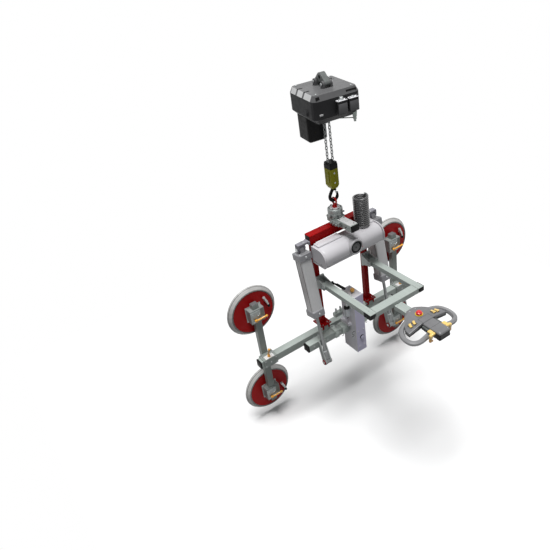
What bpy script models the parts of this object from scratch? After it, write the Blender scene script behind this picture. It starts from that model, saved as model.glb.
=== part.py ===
"""Vacuum glass lifter on an electric chain hoist.

Metres, +Z up, +X along the beams, -Y towards the operator. The origin is the
centre of the suspension eye, and the whole machine hangs below it.
"""

import math

import bmesh
import bpy
from mathutils import Euler, Matrix, Vector

FIT = 0.0003
RUNNING = 0.0006
SINK = 0.001
SMOOTH_ANGLE = math.radians(35)

# Chain hoist, in its own frame, which is turned about the chain
HOIST_YAW = math.radians(-9.3)
HOIST_WIDTH = 0.248
HOIST_DEPTH = 0.272
HOIST_TOP_Z = -0.042
COVER_RISE = 0.026
COVER_INSET = 0.013
HOIST_WALL = 0.084
BELLY_DROP = 0.030
BELLY_INSET = 0.030
HOIST_CORNER = 0.030
HATCH_X = (0.020, 0.085)
HATCH_Y = (0.062, 0.112)
HATCH_RISE = 0.006
NOTCH_Y = (-0.030, 0.040)
NOTCH_WIDTH = 0.012
NOTCH_DEPTH = 0.006
EYE_BORE = 0.011
EYE_RADIUS = 0.022
YOKE_THICKNESS = 0.028
YOKE_PIN_SPREAD = 0.040
YOKE_PIN_Z = -0.024
YOKE_FOOT_RADIUS = 0.014
YOKE_PIN_RADIUS = 0.006
LUG_THICKNESS = 0.011
LUG_RADIUS = 0.014
CONTAINER_X = (-0.095, 0.009)
CONTAINER_Y = (0.014, 0.134)
CONTAINER_BOTTOM_Z = -0.310
CONTAINER_ROUND = 0.014
CONTAINER_WALL = 0.004
PLUG_SIZE = (0.052, 0.026, 0.062)
PLUG_X = (0.012, 0.072)
PLUG_DROP = 0.016
PLUG_RAIL_HEIGHT = 0.014

# Load chain, hook block, hook and latch
CHAIN_WIRE = 0.0025
CHAIN_PITCH = 0.0155
CHAIN_INNER = 0.0060
CHAIN_BITE = 0.0008
CHAIN_ARC_POINTS = 4
CHAIN_LINKS = 20
FALL_SPACING = 0.031
CHAIN_SHAFT_TOP = 0.008
BLOCK_TOP_Z = -0.461
BLOCK_HEIGHT = 0.093
BLOCK_CHEEK = 0.009
BLOCK_HALF_X = FALL_SPACING / 2 + BLOCK_CHEEK
BLOCK_HALF_Y = 0.031
BLOCK_CORNER = 0.008
BLOCK_NOSE = 0.018
BLOCK_NOSE_INSET = 0.008
CAP_HEIGHT = 0.034
CAP_INSET = 0.005
HOOK_WIRE = 0.0088
HOOK_BOWL = 0.0250
HOOK_BOWL_DROP = 0.051
HOOK_SHANK = 0.0085
HOOK_SHANK_DEPTH = 0.014
EYE_RING = 0.0175
EYE_WIRE = 0.0050
EYE_COLLAR = 0.013
EYE_COLLAR_HEIGHT = 0.010
EYE_STEM = 0.009
EYE_STEM_DEPTH = 0.020
HOOK_SWAN_RISE = (0.040, 0.027)
HOOK_SWAN_SIDE = 0.013
LATCH_WIDTH = 0.009
LATCH_THICKNESS = 0.0025
LATCH_PIN = 0.0018
LATCH_PIN_X = 0.0135
LATCH_PIN_RISE = 0.036
LATCH_TIP_RISE = 0.0125
LATCH_HUB = 0.0042

# Rotary union, head beam and red frame
UNION_TOP_Z = -0.689
UNION_HEIGHT = 0.0485
UNION_RADIUS = 0.041
UNION_GROOVE = 0.002
HEAD_BEAM_HALF = 0.025
HEAD_BEAM_HEIGHT = 0.036
HEAD_PLATE_HALF = 0.036
HEAD_PLATE_THICKNESS = 0.004
HEAD_BEAM_Y = (-0.155, 0.045)
BEAM_WALL = 0.004
VALVE_BLOCK_SIZE = (0.020, 0.070, 0.024)
VALVE_PORT = 0.007
CROSSBAR_SIDE = 0.050
CROSSBAR_HALF = 0.198
UPRIGHT_X = 0.1725
UPRIGHT_WIDTH = 0.030
UPRIGHT_DEPTH = 0.032
UPRIGHT_FOOT_Z = -1.378
FLANGE_WIDTH = 0.075
FLANGE_DEPTH = 0.084
FLANGE_THICKNESS = 0.008
BOLT_SPREAD_X = 0.0245
BOLT_SPREAD_Y = 0.030
BOLT_HEAD = 0.0065
BOLT_HEAD_HEIGHT = 0.005

# Vacuum unit
VAC_HALF_LENGTH = 0.205
VAC_BACK_Y = -0.035
VAC_FRONT_Y = -0.155
VAC_TOP_DROP = 0.001
VAC_HEIGHT = 0.101
VAC_ROUND_TOP = 0.055
VAC_ROUND_BOTTOM = 0.022
VAC_ARC_STEPS = 8
VAC_END_PLATE = 0.005
VAC_SHELL = 0.004
VAC_FOOT_HALF = 0.012
VAC_FOOT_Z = (-0.905, -0.865)
PUMP_HALF_LENGTH = 0.150
PUMP_RADIUS = 0.030
GAUGE_RADIUS = 0.030
GAUGE_DEPTH = 0.046
GAUGE_PROUD = 0.006
GAUGE_DROP = 0.046
HOSE_X = 0.122
HOSE_RADIUS = 0.044
HOSE_BORE = 0.036
HOSE_HEIGHT = 0.185

# Tilt cylinders
CYLINDER_X = 0.250
CYLINDER_PIVOT_Z = -0.838
CYLINDER_CAP = 0.078
CYLINDER_BODY = 0.068
CAP_LENGTH = 0.026
CAP_SKIRT = 0.042
CYLINDER_LUG = 0.022
CYLINDER_LENGTH = 0.395
CYLINDER_BORE = 0.027
ROD_RADIUS = 0.009
ROD_REACH = 0.300
PISTON_RADIUS = CYLINDER_BORE - 0.001
PISTON_LENGTH = 0.014
CLEVIS_WIDTH = 0.024
CLEVIS_RADIUS = 0.016
HANGER_CHEEK = 0.010
HANGER_PIN = 0.007
HANGER_TOP_Z = -0.808
HANGER_BRIDGE = 0.012

# Tilting pad frame
TILT_Y = -0.025
TILT_DROP = 0.018
TILT_Z = UPRIGHT_FOOT_Z - FLANGE_THICKNESS - TILT_DROP
TILT_PIN = 0.005
CHEEK_THICKNESS = 0.008
CHEEK_RADIUS = 0.0145
LUG_WIDTH = 0.030
TILT_LUG_RADIUS = 0.0125
BEAM_SIDE = 0.046
BEAM_DROP = 0.024
PIVOT_BEAM_HALF = 0.333
PIVOT_BEAM_Y = -0.059
CRANK_PIN_Y = -0.122
CRANK_DROP = 0.159
CRANK_PIN_Z = TILT_Z - CRANK_DROP
CRANK_PLATE = 0.008
CRANK_RADIUS = 0.018
CRANK_BORE = 0.007
CRANK_ROOT = 0.012
TIE_X = 0.110
TIE_THICKNESS = 0.012
CROSS_BEAM_HALF = 0.580
CROSS_BEAM_Y = 0.092
CROSS_BEAM_DROP = 0.122
CROSS_BEAM_Z = TILT_Z - CROSS_BEAM_DROP
CROSS_BEAM_SIDE = 0.048

# Valve box, manifold and filter on the pad frame
BOX_HALF_X = 0.035
BOX_Y = (-0.140, -0.020)
BOX_Z = (TILT_Z - 0.214, TILT_Z + 0.193)
BOX_SHEET = 0.004
BOX_SHOE = (0.022, 0.080, 0.020)
BOX_PORT = 0.012
BOX_PORT_Z = TILT_Z - 0.110
KNOB_Y = -0.090
KNOB_RADIUS = 0.0135
KNOB_STEM = 0.005
KNOB_STEM_HEIGHT = 0.008
MANIFOLD_X = (-0.085, 0.045)
MANIFOLD_DEPTH = 0.030
MANIFOLD_HEIGHT = 0.026
MANIFOLD_RISE = 0.047
MANIFOLD_PORTS = 4
FILTER_RADIUS = 0.016
FILTER_LENGTH = 0.050

# Pad arms and pads
ARM_INSET = 0.059
ARM_X = CROSS_BEAM_HALF - ARM_INSET
ARM_WIDTH = 0.040
ARM_DEPTH = 0.034
ARM_Z = (TILT_Z - 0.486, TILT_Z + 0.264)
ARM_WALL = 0.003
SLEEVE_HALF = 0.047
SLEEVE_WALL = 0.006
PAD_Z = (TILT_Z - 0.4145, TILT_Z + 0.1915)
PAD_PLATE_RADIUS = 0.131
PAD_PLATE_THICKNESS = 0.010
PAD_LIP_RADIUS = 0.160
PAD_LIP_REACH = 0.034
PAD_LIP_FOLD = 0.024
PAD_WEB_REACH = 0.018
PAD_WEB_INSET = 0.032
PAD_HOLE_RADIUS = 0.085
PAD_STEPS = 32
HOLDER_HALF_X = 0.046
HOLDER_HEIGHT = 0.090
HOLDER_WALL = 0.008
LEVER_HUB = 0.009
LEVER_HUB_HEIGHT = 0.012
LEVER_BAR = 0.006
LEVER_LENGTH = 0.060
LEVER_Y = 0.078

# Handle frame and control handle
HANDLE_X = 0.164
HANDLE_WIDTH = 0.040
HANDLE_HEIGHT = 0.030
HANDLE_Z = -1.083
HANDLE_PIVOT_Y = -0.085
HANDLE_PIN = 0.005
HANDLE_TAIL = 0.022
HANDLE_FRONT_Y = -0.465
HANDLE_BAR_DEPTH = 0.050
HANDLE_WALL = 0.003
BRACKET_CHEEK = 0.006
BRACKET_HEIGHT = 0.080
BRACKET_NOSE = 0.016
BRACKET_WEB = 0.012
LOCK_HUB = 0.011
LOCK_HUB_LENGTH = 0.012
LOCK_BAR = 0.0055
LOCK_LENGTH = 0.088
STUB_HALF = 0.026
STUB_END_Y = -0.600
STUB_TOP_DROP = 0.019
STUB_HEIGHT = 0.026
CONTROL_TOP_Z = -1.0715
CONTROL_HEIGHT = 0.030
CONTROL_DROOP = 0.22
CONTROL_FLAT = 0.045
CONTROL_OUTLINE = (
    (-0.553, 0.026), (-0.575, 0.060), (-0.610, 0.098), (-0.645, 0.122), (-0.675, 0.126),
)
POD_HALF = 0.036
POD_Y = (-0.785, -0.660)
POD_HEIGHT = 0.046
POD_DROP = 0.004
GRIP_RADIUS = 0.0135
GRIP_PATH = (
    (0.050, -0.600, -1.091), (0.090, -0.606, -1.093), (0.126, -0.622, -1.098),
    (0.148, -0.652, -1.106), (0.153, -0.684, -1.112), (0.142, -0.714, -1.115),
    (0.114, -0.729, -1.115), (0.075, -0.728, -1.112), (0.024, -0.722, -1.105),
)
GRIP_STEPS = 3
STOP_Y = -0.614
STOP_RADIUS = 0.016
STOP_HEAD = 0.012
STOP_STEM = 0.008
STOP_GAP = 0.005
STOP_DEPTH = 0.012
BUTTON_HALF = (0.0050, 0.0105)
BUTTON_X = (0.064, 0.088)
BUTTON_Y = -0.645
BUTTON_PROUD = 0.004
BUTTON_DEPTH = 0.007
BUTTON_TRAVEL = 0.0025
TRIGGER_X = (0.0368, 0.0485)
TRIGGER_Y = (-0.757, -0.678)
TRIGGER_Z = (-1.091, -1.083)
TRIGGER_TAB_X = 0.072
TRIGGER_TAB = 0.009
TRIGGER_TAB_Z = -1.128

FINISHES = {
    "hoist_grey": ((0.045, 0.045, 0.048), 0.2, 0.45),
    "hoist_lid": ((0.22, 0.22, 0.22), 0.2, 0.45),
    "black": ((0.012, 0.012, 0.012), 0.0, 0.55),
    "dark_steel": ((0.12, 0.13, 0.13), 0.9, 0.35),
    "chain_steel": ((0.30, 0.32, 0.32), 1.0, 0.35),
    "olive": ((0.17, 0.17, 0.012), 0.1, 0.45),
    "red": ((0.40, 0.006, 0.006), 0.1, 0.40),
    "steel": ((0.25, 0.27, 0.27), 0.9, 0.35),
    "aluminium": ((0.60, 0.64, 0.62), 0.9, 0.35),
    "silver": ((0.65, 0.64, 0.66), 0.4, 0.30),
    "cylinder_grey": ((0.21, 0.21, 0.22), 0.5, 0.40),
    "pale": ((0.60, 0.58, 0.66), 0.1, 0.45),
    "orange": ((0.85, 0.38, 0.06), 0.0, 0.35),
    "cream": ((0.90, 0.72, 0.30), 0.0, 0.40),
    "rubber": ((0.10, 0.11, 0.11), 0.0, 0.60),
    "clear": ((0.70, 0.75, 0.78), 0.0, 0.15),
    "stop_red": ((0.70, 0.02, 0.02), 0.0, 0.35),
}


def derived_heights():
    """Levels that follow from the stack of pieces under the hook."""
    block_bottom = BLOCK_TOP_Z - BLOCK_HEIGHT - BLOCK_NOSE
    bowl = block_bottom - HOOK_BOWL_DROP
    ring = bowl - HOOK_BOWL + HOOK_WIRE + EYE_WIRE + FIT - EYE_RING
    head_top = UNION_TOP_Z - UNION_HEIGHT - FIT
    crossbar_top = head_top - HEAD_PLATE_THICKNESS - HEAD_BEAM_HEIGHT - FIT
    crossbar_bottom = crossbar_top - CROSSBAR_SIDE
    return {
        "block_bottom": block_bottom,
        "bowl": bowl,
        "ring": ring,
        "head_top": head_top,
        "crossbar_top": crossbar_top,
        "crossbar_bottom": crossbar_bottom,
        "tilt": TILT_Z,
        "beam_top": TILT_Z - BEAM_DROP,
        "vac_top": crossbar_bottom - VAC_TOP_DROP,
        "belly": HOIST_TOP_Z - COVER_RISE - HOIST_WALL - BELLY_DROP,
    }


LEVEL = derived_heights()
CYLINDER_SPAN = Vector((0, CRANK_PIN_Y, CRANK_PIN_Z - CYLINDER_PIVOT_Z))
CYLINDER_LEAN = math.atan2(CRANK_PIN_Y, CYLINDER_PIVOT_Z - CRANK_PIN_Z)

PARTS = bpy.data.collections.new("vacuum_glass_lifter")
TOOLS = bpy.data.collections.new("cutters")
WORLD = {}


def clear_scene():
    for obj in list(bpy.data.objects):
        bpy.data.objects.remove(obj, do_unlink=True)
    for group in (PARTS, TOOLS):
        bpy.context.scene.collection.children.link(group)


def material(name, finish):
    colour, metallic, roughness = FINISHES[finish]
    made = bpy.data.materials.new(name)
    made.use_nodes = True
    shader = made.node_tree.nodes["Principled BSDF"]
    shader.inputs["Base Color"].default_value = (*colour, 1.0)
    shader.inputs["Metallic"].default_value = metallic
    shader.inputs["Roughness"].default_value = roughness
    made.diffuse_color = (*colour, 1.0)
    return made


def helper(name, mesh, centre=(0, 0, 0), turn=(0, 0, 0)):
    """A shape that is still only a tool: it becomes a node in make_node."""
    obj = bpy.data.objects.new(name, mesh)
    obj.location = centre
    obj.rotation_euler = turn
    obj.hide_render = True
    obj.display_type = "WIRE"
    TOOLS.objects.link(obj)
    return obj


def from_bmesh(form, name, centre=(0, 0, 0), turn=(0, 0, 0), smooth=False):
    mesh = bpy.data.meshes.new(name)
    bmesh.ops.recalc_face_normals(form, faces=form.faces)
    form.to_mesh(mesh)
    form.free()
    if smooth:
        mesh.shade_smooth()
        mesh.set_sharp_from_angle(angle=SMOOTH_ANGLE)
    return helper(name, mesh, centre, turn)


def round_edges(obj, width, segments=2):
    if width > 0:
        bevel = obj.modifiers.new("Rounded edges", "BEVEL")
        bevel.width = width
        bevel.segments = segments
        bevel.limit_method = "ANGLE"
        bevel.angle_limit = SMOOTH_ANGLE
    return obj


def block(size, centre, rounding=0.0, segments=2, turn=(0, 0, 0)):
    form = bmesh.new()
    bmesh.ops.create_cube(form, size=1.0)
    bmesh.ops.scale(form, vec=size, verts=form.verts)
    return round_edges(from_bmesh(form, "block", centre, turn), rounding, segments)


def span(x, y, z, rounding=0.0, segments=2):
    """A block given by its two ends on each axis."""
    size = (abs(x[1] - x[0]), abs(y[1] - y[0]), abs(z[1] - z[0]))
    centre = ((x[0] + x[1]) / 2, (y[0] + y[1]) / 2, (z[0] + z[1]) / 2)
    return block(size, centre, rounding, segments)


AXIS_TURN = {"X": (0, math.pi / 2, 0), "Y": (-math.pi / 2, 0, 0), "Z": (0, 0, 0)}


def drum(radius, length, centre, axis="Z", sides=24, tip=None):
    form = bmesh.new()
    end = radius if tip is None else tip
    bmesh.ops.create_cone(form, cap_ends=True, segments=sides, radius1=radius, radius2=end, depth=length)
    return from_bmesh(form, "drum", centre, AXIS_TURN[axis], smooth=True)


def hull(*shapes):
    """The convex plate or bracket that wraps the given shapes."""
    form = bmesh.new()
    for shape in shapes:
        place = Matrix.LocRotScale(shape.location, shape.rotation_euler, None)
        for vertex in shape.data.vertices:
            form.verts.new(place @ vertex.co)
        bpy.data.objects.remove(shape, do_unlink=True)
    result = bmesh.ops.convex_hull(form, input=form.verts)
    loose = [item for item in result["geom_interior"] + result["geom_unused"]
             if isinstance(item, bmesh.types.BMVert)]
    bmesh.ops.delete(form, geom=list(set(loose)), context="VERTS")
    bmesh.ops.dissolve_limit(form, angle_limit=0.002, verts=form.verts, edges=form.edges)
    return from_bmesh(form, "hull", smooth=True)


def loft(sections):
    """A closed skin through rings of points that all have the same count."""
    form = bmesh.new()
    rings = [[form.verts.new(point) for point in section] for section in sections]
    for low, high in zip(rings, rings[1:]):
        for here in range(len(low)):
            after = (here + 1) % len(low)
            form.faces.new((low[here], low[after], high[after], high[here]))
    form.faces.new(rings[0])
    form.faces.new(rings[-1])
    return from_bmesh(form, "loft")


def turned(profile, centre=(0, 0, 0), turn=(0, 0, 0), steps=32, ring=False):
    """A profile of (radius, height) points, spun about its own Z."""
    points = [(radius, 0, height) for radius, height in profile]
    edges = [(index, index + 1) for index in range(len(points) - 1)]
    if ring:
        edges.append((len(points) - 1, 0))
    mesh = bpy.data.meshes.new("turned")
    mesh.from_pydata(points, edges, [])
    obj = helper("turned", mesh, centre, turn)
    screw = obj.modifiers.new("Spin", "SCREW")
    screw.steps = steps
    screw.render_steps = steps
    screw.use_merge_vertices = True
    screw.merge_threshold = 0.00001
    screw.use_normal_calculate = True
    form = bmesh.new()
    bpy.context.view_layer.update()
    form.from_object(obj, bpy.context.evaluated_depsgraph_get())
    screw.use_normal_flip = form.calc_volume(signed=True) < 0
    form.free()
    return obj


def bent_bar(points, radius, resolution=2, closed=False, thickness=None, centre=(0, 0, 0), turn=(0, 0, 0)):
    """A round bar along the points, made a mesh with its caps welded on."""
    curve = bpy.data.curves.new("bar", "CURVE")
    curve.dimensions = "3D"
    curve.bevel_depth = radius
    curve.bevel_resolution = resolution
    curve.use_fill_caps = not closed
    line = curve.splines.new("POLY")
    line.points.add(len(points) - 1)
    line.use_cyclic_u = closed
    for index, point in enumerate(points):
        line.points[index].co = (*point, 1)
        line.points[index].radius = 1.0 if thickness is None else thickness[index]
    source = bpy.data.objects.new("bar", curve)
    TOOLS.objects.link(source)
    bpy.context.view_layer.update()
    seen = source.evaluated_get(bpy.context.evaluated_depsgraph_get())
    mesh = bpy.data.meshes.new_from_object(seen)
    bpy.data.objects.remove(source, do_unlink=True)
    form = bmesh.new()
    form.from_mesh(mesh)
    bmesh.ops.remove_doubles(form, verts=form.verts, dist=0.00001)
    bpy.data.meshes.remove(mesh)
    return from_bmesh(form, "bar", centre, turn, smooth=True)


def smooth_path(points, steps):
    """Points on a smooth curve that passes through the given ones."""
    ends = [points[0], *points, points[-1]]
    path = []
    for index in range(len(points) - 1):
        a, b, c, d = (Vector(ends[index + k]) for k in range(4))
        for step in range(steps):
            t = step / steps
            path.append(0.5 * (2 * b + (c - a) * t + (2 * a - 5 * b + 4 * c - d) * t * t
                               + (3 * b - a - 3 * c + d) * t * t * t))
    path.append(Vector(points[-1]))
    return path


def rounded_rectangle(width, depth, corner, height, steps=3, middle=(0, 0)):
    points = []
    for quarter, (side_x, side_y) in enumerate(((1, 1), (-1, 1), (-1, -1), (1, -1))):
        for step in range(steps + 1):
            angle = math.pi / 2 * (quarter + step / steps)
            points.append((
                middle[0] + side_x * (width / 2 - corner) + corner * math.cos(angle),
                middle[1] + side_y * (depth / 2 - corner) + corner * math.sin(angle),
                height,
            ))
    return points


def mirrored(points, side):
    return [(side * x, y, z) for x, y, z in points]


def pivot(name, place, parent=None, turn=(0, 0, 0), own_frame=False):
    """An empty on a joint. With own_frame, its children's numbers are in its frame."""
    empty = bpy.data.objects.new(name, None)
    PARTS.objects.link(empty)
    WORLD[name] = Matrix.LocRotScale(Vector(place), Euler(turn), None)
    empty.location = place
    empty.rotation_euler = turn
    empty["own_frame"] = own_frame
    if parent is not None:
        empty.parent = parent
        empty.matrix_parent_inverse = WORLD[parent.name].inverted()
    return empty


def attach(shape, empty):
    shape.parent = empty
    if not empty["own_frame"]:
        shape.matrix_parent_inverse = WORLD[empty.name].inverted()


def make_node(name, finish, on, base, joined=(), cuts=(), added_last=()):
    """Turns a helper shape into a named part, with its unions and cuts as modifiers."""
    TOOLS.objects.unlink(base)
    PARTS.objects.link(base)
    base.name = name
    base.data.name = name
    base.hide_render = False
    base.display_type = "TEXTURED"
    base.data.materials.append(material(name, finish))
    attach(base, on)
    for shapes, operation in ((joined, "UNION"), (cuts, "DIFFERENCE"), (added_last, "UNION")):
        for shape in shapes:
            attach(shape, on)
            shape.name = name + ("_add" if operation == "UNION" else "_cut")
            boolean = base.modifiers.new(operation.title(), "BOOLEAN")
            boolean.operation = operation
            boolean.object = shape
            boolean.solver = "EXACT"
    return base


def make_hoist(hoist):
    top = HOIST_TOP_Z
    shoulder = top - COVER_RISE
    hip = shoulder - HOIST_WALL
    cover = loft([
        rounded_rectangle(HOIST_WIDTH, HOIST_DEPTH, HOIST_CORNER, shoulder + FIT),
        rounded_rectangle(HOIST_WIDTH - 2 * COVER_INSET, HOIST_DEPTH - 2 * COVER_INSET,
                          HOIST_CORNER - COVER_INSET, top),
    ])
    hatch = span(HATCH_X, HATCH_Y, (top - SINK, top + HATCH_RISE), 0.002, 1)
    notches = [
        span((-HOIST_WIDTH / 2 - SINK, -HOIST_WIDTH / 2 + 3 * COVER_INSET), (y, y + NOTCH_WIDTH),
             (top - NOTCH_DEPTH, top + SINK))
        for y in NOTCH_Y
    ]
    lug_offset = YOKE_THICKNESS / 2 + RUNNING + LUG_THICKNESS / 2
    lugs = []
    for side_y in (-1, 1):
        pin_y = side_y * YOKE_PIN_SPREAD
        for side_x in (-1, 1):
            lugs.append(hull(
                drum(LUG_RADIUS, LUG_THICKNESS, (side_x * lug_offset, pin_y, YOKE_PIN_Z), "X", 16),
                block((LUG_THICKNESS, 2 * LUG_RADIUS, SINK * 4), (side_x * lug_offset, pin_y, top - SINK)),
            ))
        lugs.append(drum(YOKE_PIN_RADIUS, 2 * lug_offset + LUG_THICKNESS + 0.006, (0, pin_y, YOKE_PIN_Z),
                         "X", 16))
    make_node("hoist_cover", "hoist_lid", hoist, cover, (hatch, *lugs), notches)

    housing = loft([
        rounded_rectangle(HOIST_WIDTH - 2 * BELLY_INSET, HOIST_DEPTH - 2 * BELLY_INSET,
                          HOIST_CORNER / 2, LEVEL["belly"]),
        rounded_rectangle(HOIST_WIDTH, HOIST_DEPTH, HOIST_CORNER, hip),
        rounded_rectangle(HOIST_WIDTH, HOIST_DEPTH, HOIST_CORNER, shoulder),
    ])
    mouth = span((CONTAINER_X[0] + CONTAINER_WALL, CONTAINER_X[1] - CONTAINER_WALL),
                 (CONTAINER_Y[0] + CONTAINER_WALL, CONTAINER_Y[1] - CONTAINER_WALL),
                 (LEVEL["belly"], hip + SINK))
    shafts = []
    for side in (-1, 1):
        place = Matrix.Rotation(-HOIST_YAW, 3, "Z") @ Vector((side * FALL_SPACING / 2, 0, 0))
        low = LEVEL["belly"] - SINK
        high = shoulder - CHAIN_SHAFT_TOP
        shafts.append(drum(chain_clearance(), high - low, (place.x, place.y, (high + low) / 2), "Z", 16))
    make_node("hoist_housing", "hoist_grey", hoist, housing, (mouth,), shafts)


def chain_clearance():
    """The hole that a fall of chain runs through, whichever way its links stand."""
    return CHAIN_INNER / 2 + 2 * CHAIN_WIRE + RUNNING


def make_suspension_eye(hoist):
    """A plate across the lid, pinned between its lugs, with the bore that the machine hangs from."""
    foot = YOKE_PIN_SPREAD
    plate = hull(
        drum(EYE_RADIUS, YOKE_THICKNESS, (0, 0, 0), "X", 24),
        drum(YOKE_FOOT_RADIUS, YOKE_THICKNESS, (0, -foot, YOKE_PIN_Z), "X", 16),
        drum(YOKE_FOOT_RADIUS, YOKE_THICKNESS, (0, foot, YOKE_PIN_Z), "X", 16),
    )
    deep = YOKE_THICKNESS + 2 * SINK
    bores = [drum(EYE_BORE, deep, (0, 0, 0), "X", 24)]
    bores += [drum(YOKE_PIN_RADIUS + FIT, deep, (0, side * foot, YOKE_PIN_Z), "X", 16) for side in (-1, 1)]
    arch = drum(foot * 0.45, deep, (0, 0, YOKE_PIN_Z - foot * 0.38), "X", 24)
    make_node("suspension_eye", "dark_steel", hoist, plate, (), (*bores, arch))


def make_chain_container(hoist):
    top = LEVEL["belly"] - FIT
    low = CONTAINER_BOTTOM_Z
    wide = CONTAINER_X[1] - CONTAINER_X[0]
    deep = CONTAINER_Y[1] - CONTAINER_Y[0]
    middle = (sum(CONTAINER_X) / 2, sum(CONTAINER_Y) / 2)
    wall = 2 * CONTAINER_WALL
    soft = CONTAINER_ROUND / 2
    box = loft([
        rounded_rectangle(wide - 2 * soft, deep - 2 * soft, soft, low, 3, middle),
        rounded_rectangle(wide, deep, CONTAINER_ROUND, low + soft, 3, middle),
        rounded_rectangle(wide, deep, CONTAINER_ROUND, top, 3, middle),
    ])
    inner = CONTAINER_ROUND - CONTAINER_WALL
    store = loft([
        rounded_rectangle(wide - wall - soft, deep - wall - soft, soft, low + CONTAINER_WALL, 3, middle),
        rounded_rectangle(wide - wall, deep - wall, inner, low + CONTAINER_WALL + soft, 3, middle),
        rounded_rectangle(wide - wall, deep - wall, inner, top + SINK, 3, middle),
    ])
    make_node("chain_container", "black", hoist, box, (), (store,))


def make_plug_connectors(hoist):
    wide, deep, tall = PLUG_SIZE
    face = -HOIST_DEPTH / 2 - FIT
    top = HOIST_TOP_Z - COVER_RISE - PLUG_DROP
    rail = span((PLUG_X[0] - wide / 2 + SINK, PLUG_X[1] + wide / 2 - SINK), (face, face - deep / 2),
                (top - PLUG_RAIL_HEIGHT, top - SINK))
    plugs = [span((x - wide / 2, x + wide / 2), (face - SINK, face - deep), (top - tall, top), 0.003, 1)
             for x in PLUG_X]
    gland = drum(0.010, 0.012, (PLUG_X[0], face - deep / 2, top + 0.004), "Z", 12)
    make_node("plug_connectors", "cylinder_grey", hoist, rail, (*plugs, gland))


def chain_link(centre, sideways):
    """One oval link about its centre, in the XZ or the YZ plane."""
    bend = CHAIN_INNER / 2 + CHAIN_WIRE
    straight = CHAIN_PITCH / 2 + CHAIN_WIRE - bend
    points = []
    for end, start in ((1, 0.0), (-1, math.pi)):
        for step in range(CHAIN_ARC_POINTS):
            angle = start + math.pi * step / (CHAIN_ARC_POINTS - 1)
            across = bend * math.cos(angle)
            along = end * straight + bend * math.sin(angle)
            points.append((0, across, along) if sideways else (across, 0, along))
    return bent_bar([Vector(centre) + Vector(point) for point in points], CHAIN_WIRE, 1, closed=True)


def merge_meshes(shapes):
    """Several separate closed shapes as one mesh."""
    form = bmesh.new()
    for shape in shapes:
        shape.data.transform(Matrix.LocRotScale(shape.location, shape.rotation_euler, None))
        form.from_mesh(shape.data)
        bpy.data.objects.remove(shape, do_unlink=True)
    return from_bmesh(form, "merged", smooth=True)


def make_chain_falls(lift):
    outer = CHAIN_PITCH / 2 + 2 * CHAIN_WIRE
    lowest = BLOCK_TOP_Z + FIT + outer
    step = CHAIN_PITCH + CHAIN_BITE
    for name, side in (("chain_fall_left", -1), ("chain_fall_right", 1)):
        links = [
            chain_link((side * FALL_SPACING / 2, 0, lowest + index * step), index % 2 == 1)
            for index in range(CHAIN_LINKS)
        ]
        make_node(name, "chain_steel", lift, merge_meshes(links[::2]), (merge_meshes(links[1::2]),))


def make_hook_block(lift):
    top = BLOCK_TOP_Z
    skirt = top - BLOCK_HEIGHT
    wide, deep = 2 * BLOCK_HALF_X, 2 * BLOCK_HALF_Y
    body = loft([
        rounded_rectangle(wide - 2 * BLOCK_NOSE_INSET, deep - 2 * BLOCK_NOSE_INSET, BLOCK_CORNER / 2,
                          LEVEL["block_bottom"]),
        rounded_rectangle(wide, deep, BLOCK_CORNER, skirt),
        rounded_rectangle(wide, deep, BLOCK_CORNER, top),
    ])
    seat = drum(HOOK_SHANK + RUNNING, HOOK_SHANK_DEPTH + 2 * SINK,
                (0, 0, LEVEL["block_bottom"] + HOOK_SHANK_DEPTH / 2), "Z", 24)
    make_node("hook_block", "olive", lift, body, (), (seat,))
    cap = loft([
        rounded_rectangle(wide, deep, BLOCK_CORNER, top + FIT),
        rounded_rectangle(wide, deep, BLOCK_CORNER, top + CAP_HEIGHT * 0.6),
        rounded_rectangle(wide - CAP_INSET, deep - 2 * CAP_INSET, BLOCK_CORNER / 2, top + CAP_HEIGHT),
    ])
    mouths = [
        drum(chain_clearance(), CAP_HEIGHT + 2 * SINK, (side * FALL_SPACING / 2, 0, top + CAP_HEIGHT / 2),
             "Z", 16)
        for side in (-1, 1)
    ]
    make_node("hook_block_cap", "black", lift, cap, (), mouths)


def hook_path(bowl):
    """Centre line of the hook in the XZ plane, from the shank round to the tip."""
    points = [(0, 0, bowl + HOOK_BOWL_DROP - SINK), (-0.003, 0, bowl + HOOK_SWAN_RISE[0]),
              (-HOOK_SWAN_SIDE, 0, bowl + HOOK_SWAN_RISE[1])]
    for degrees in range(155, 381, 15):
        angle = math.radians(degrees)
        points.append((HOOK_BOWL * math.cos(angle), 0, bowl + HOOK_BOWL * math.sin(angle)))
    points.append((HOOK_BOWL + 0.002, 0, bowl + 0.016))
    return points


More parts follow.
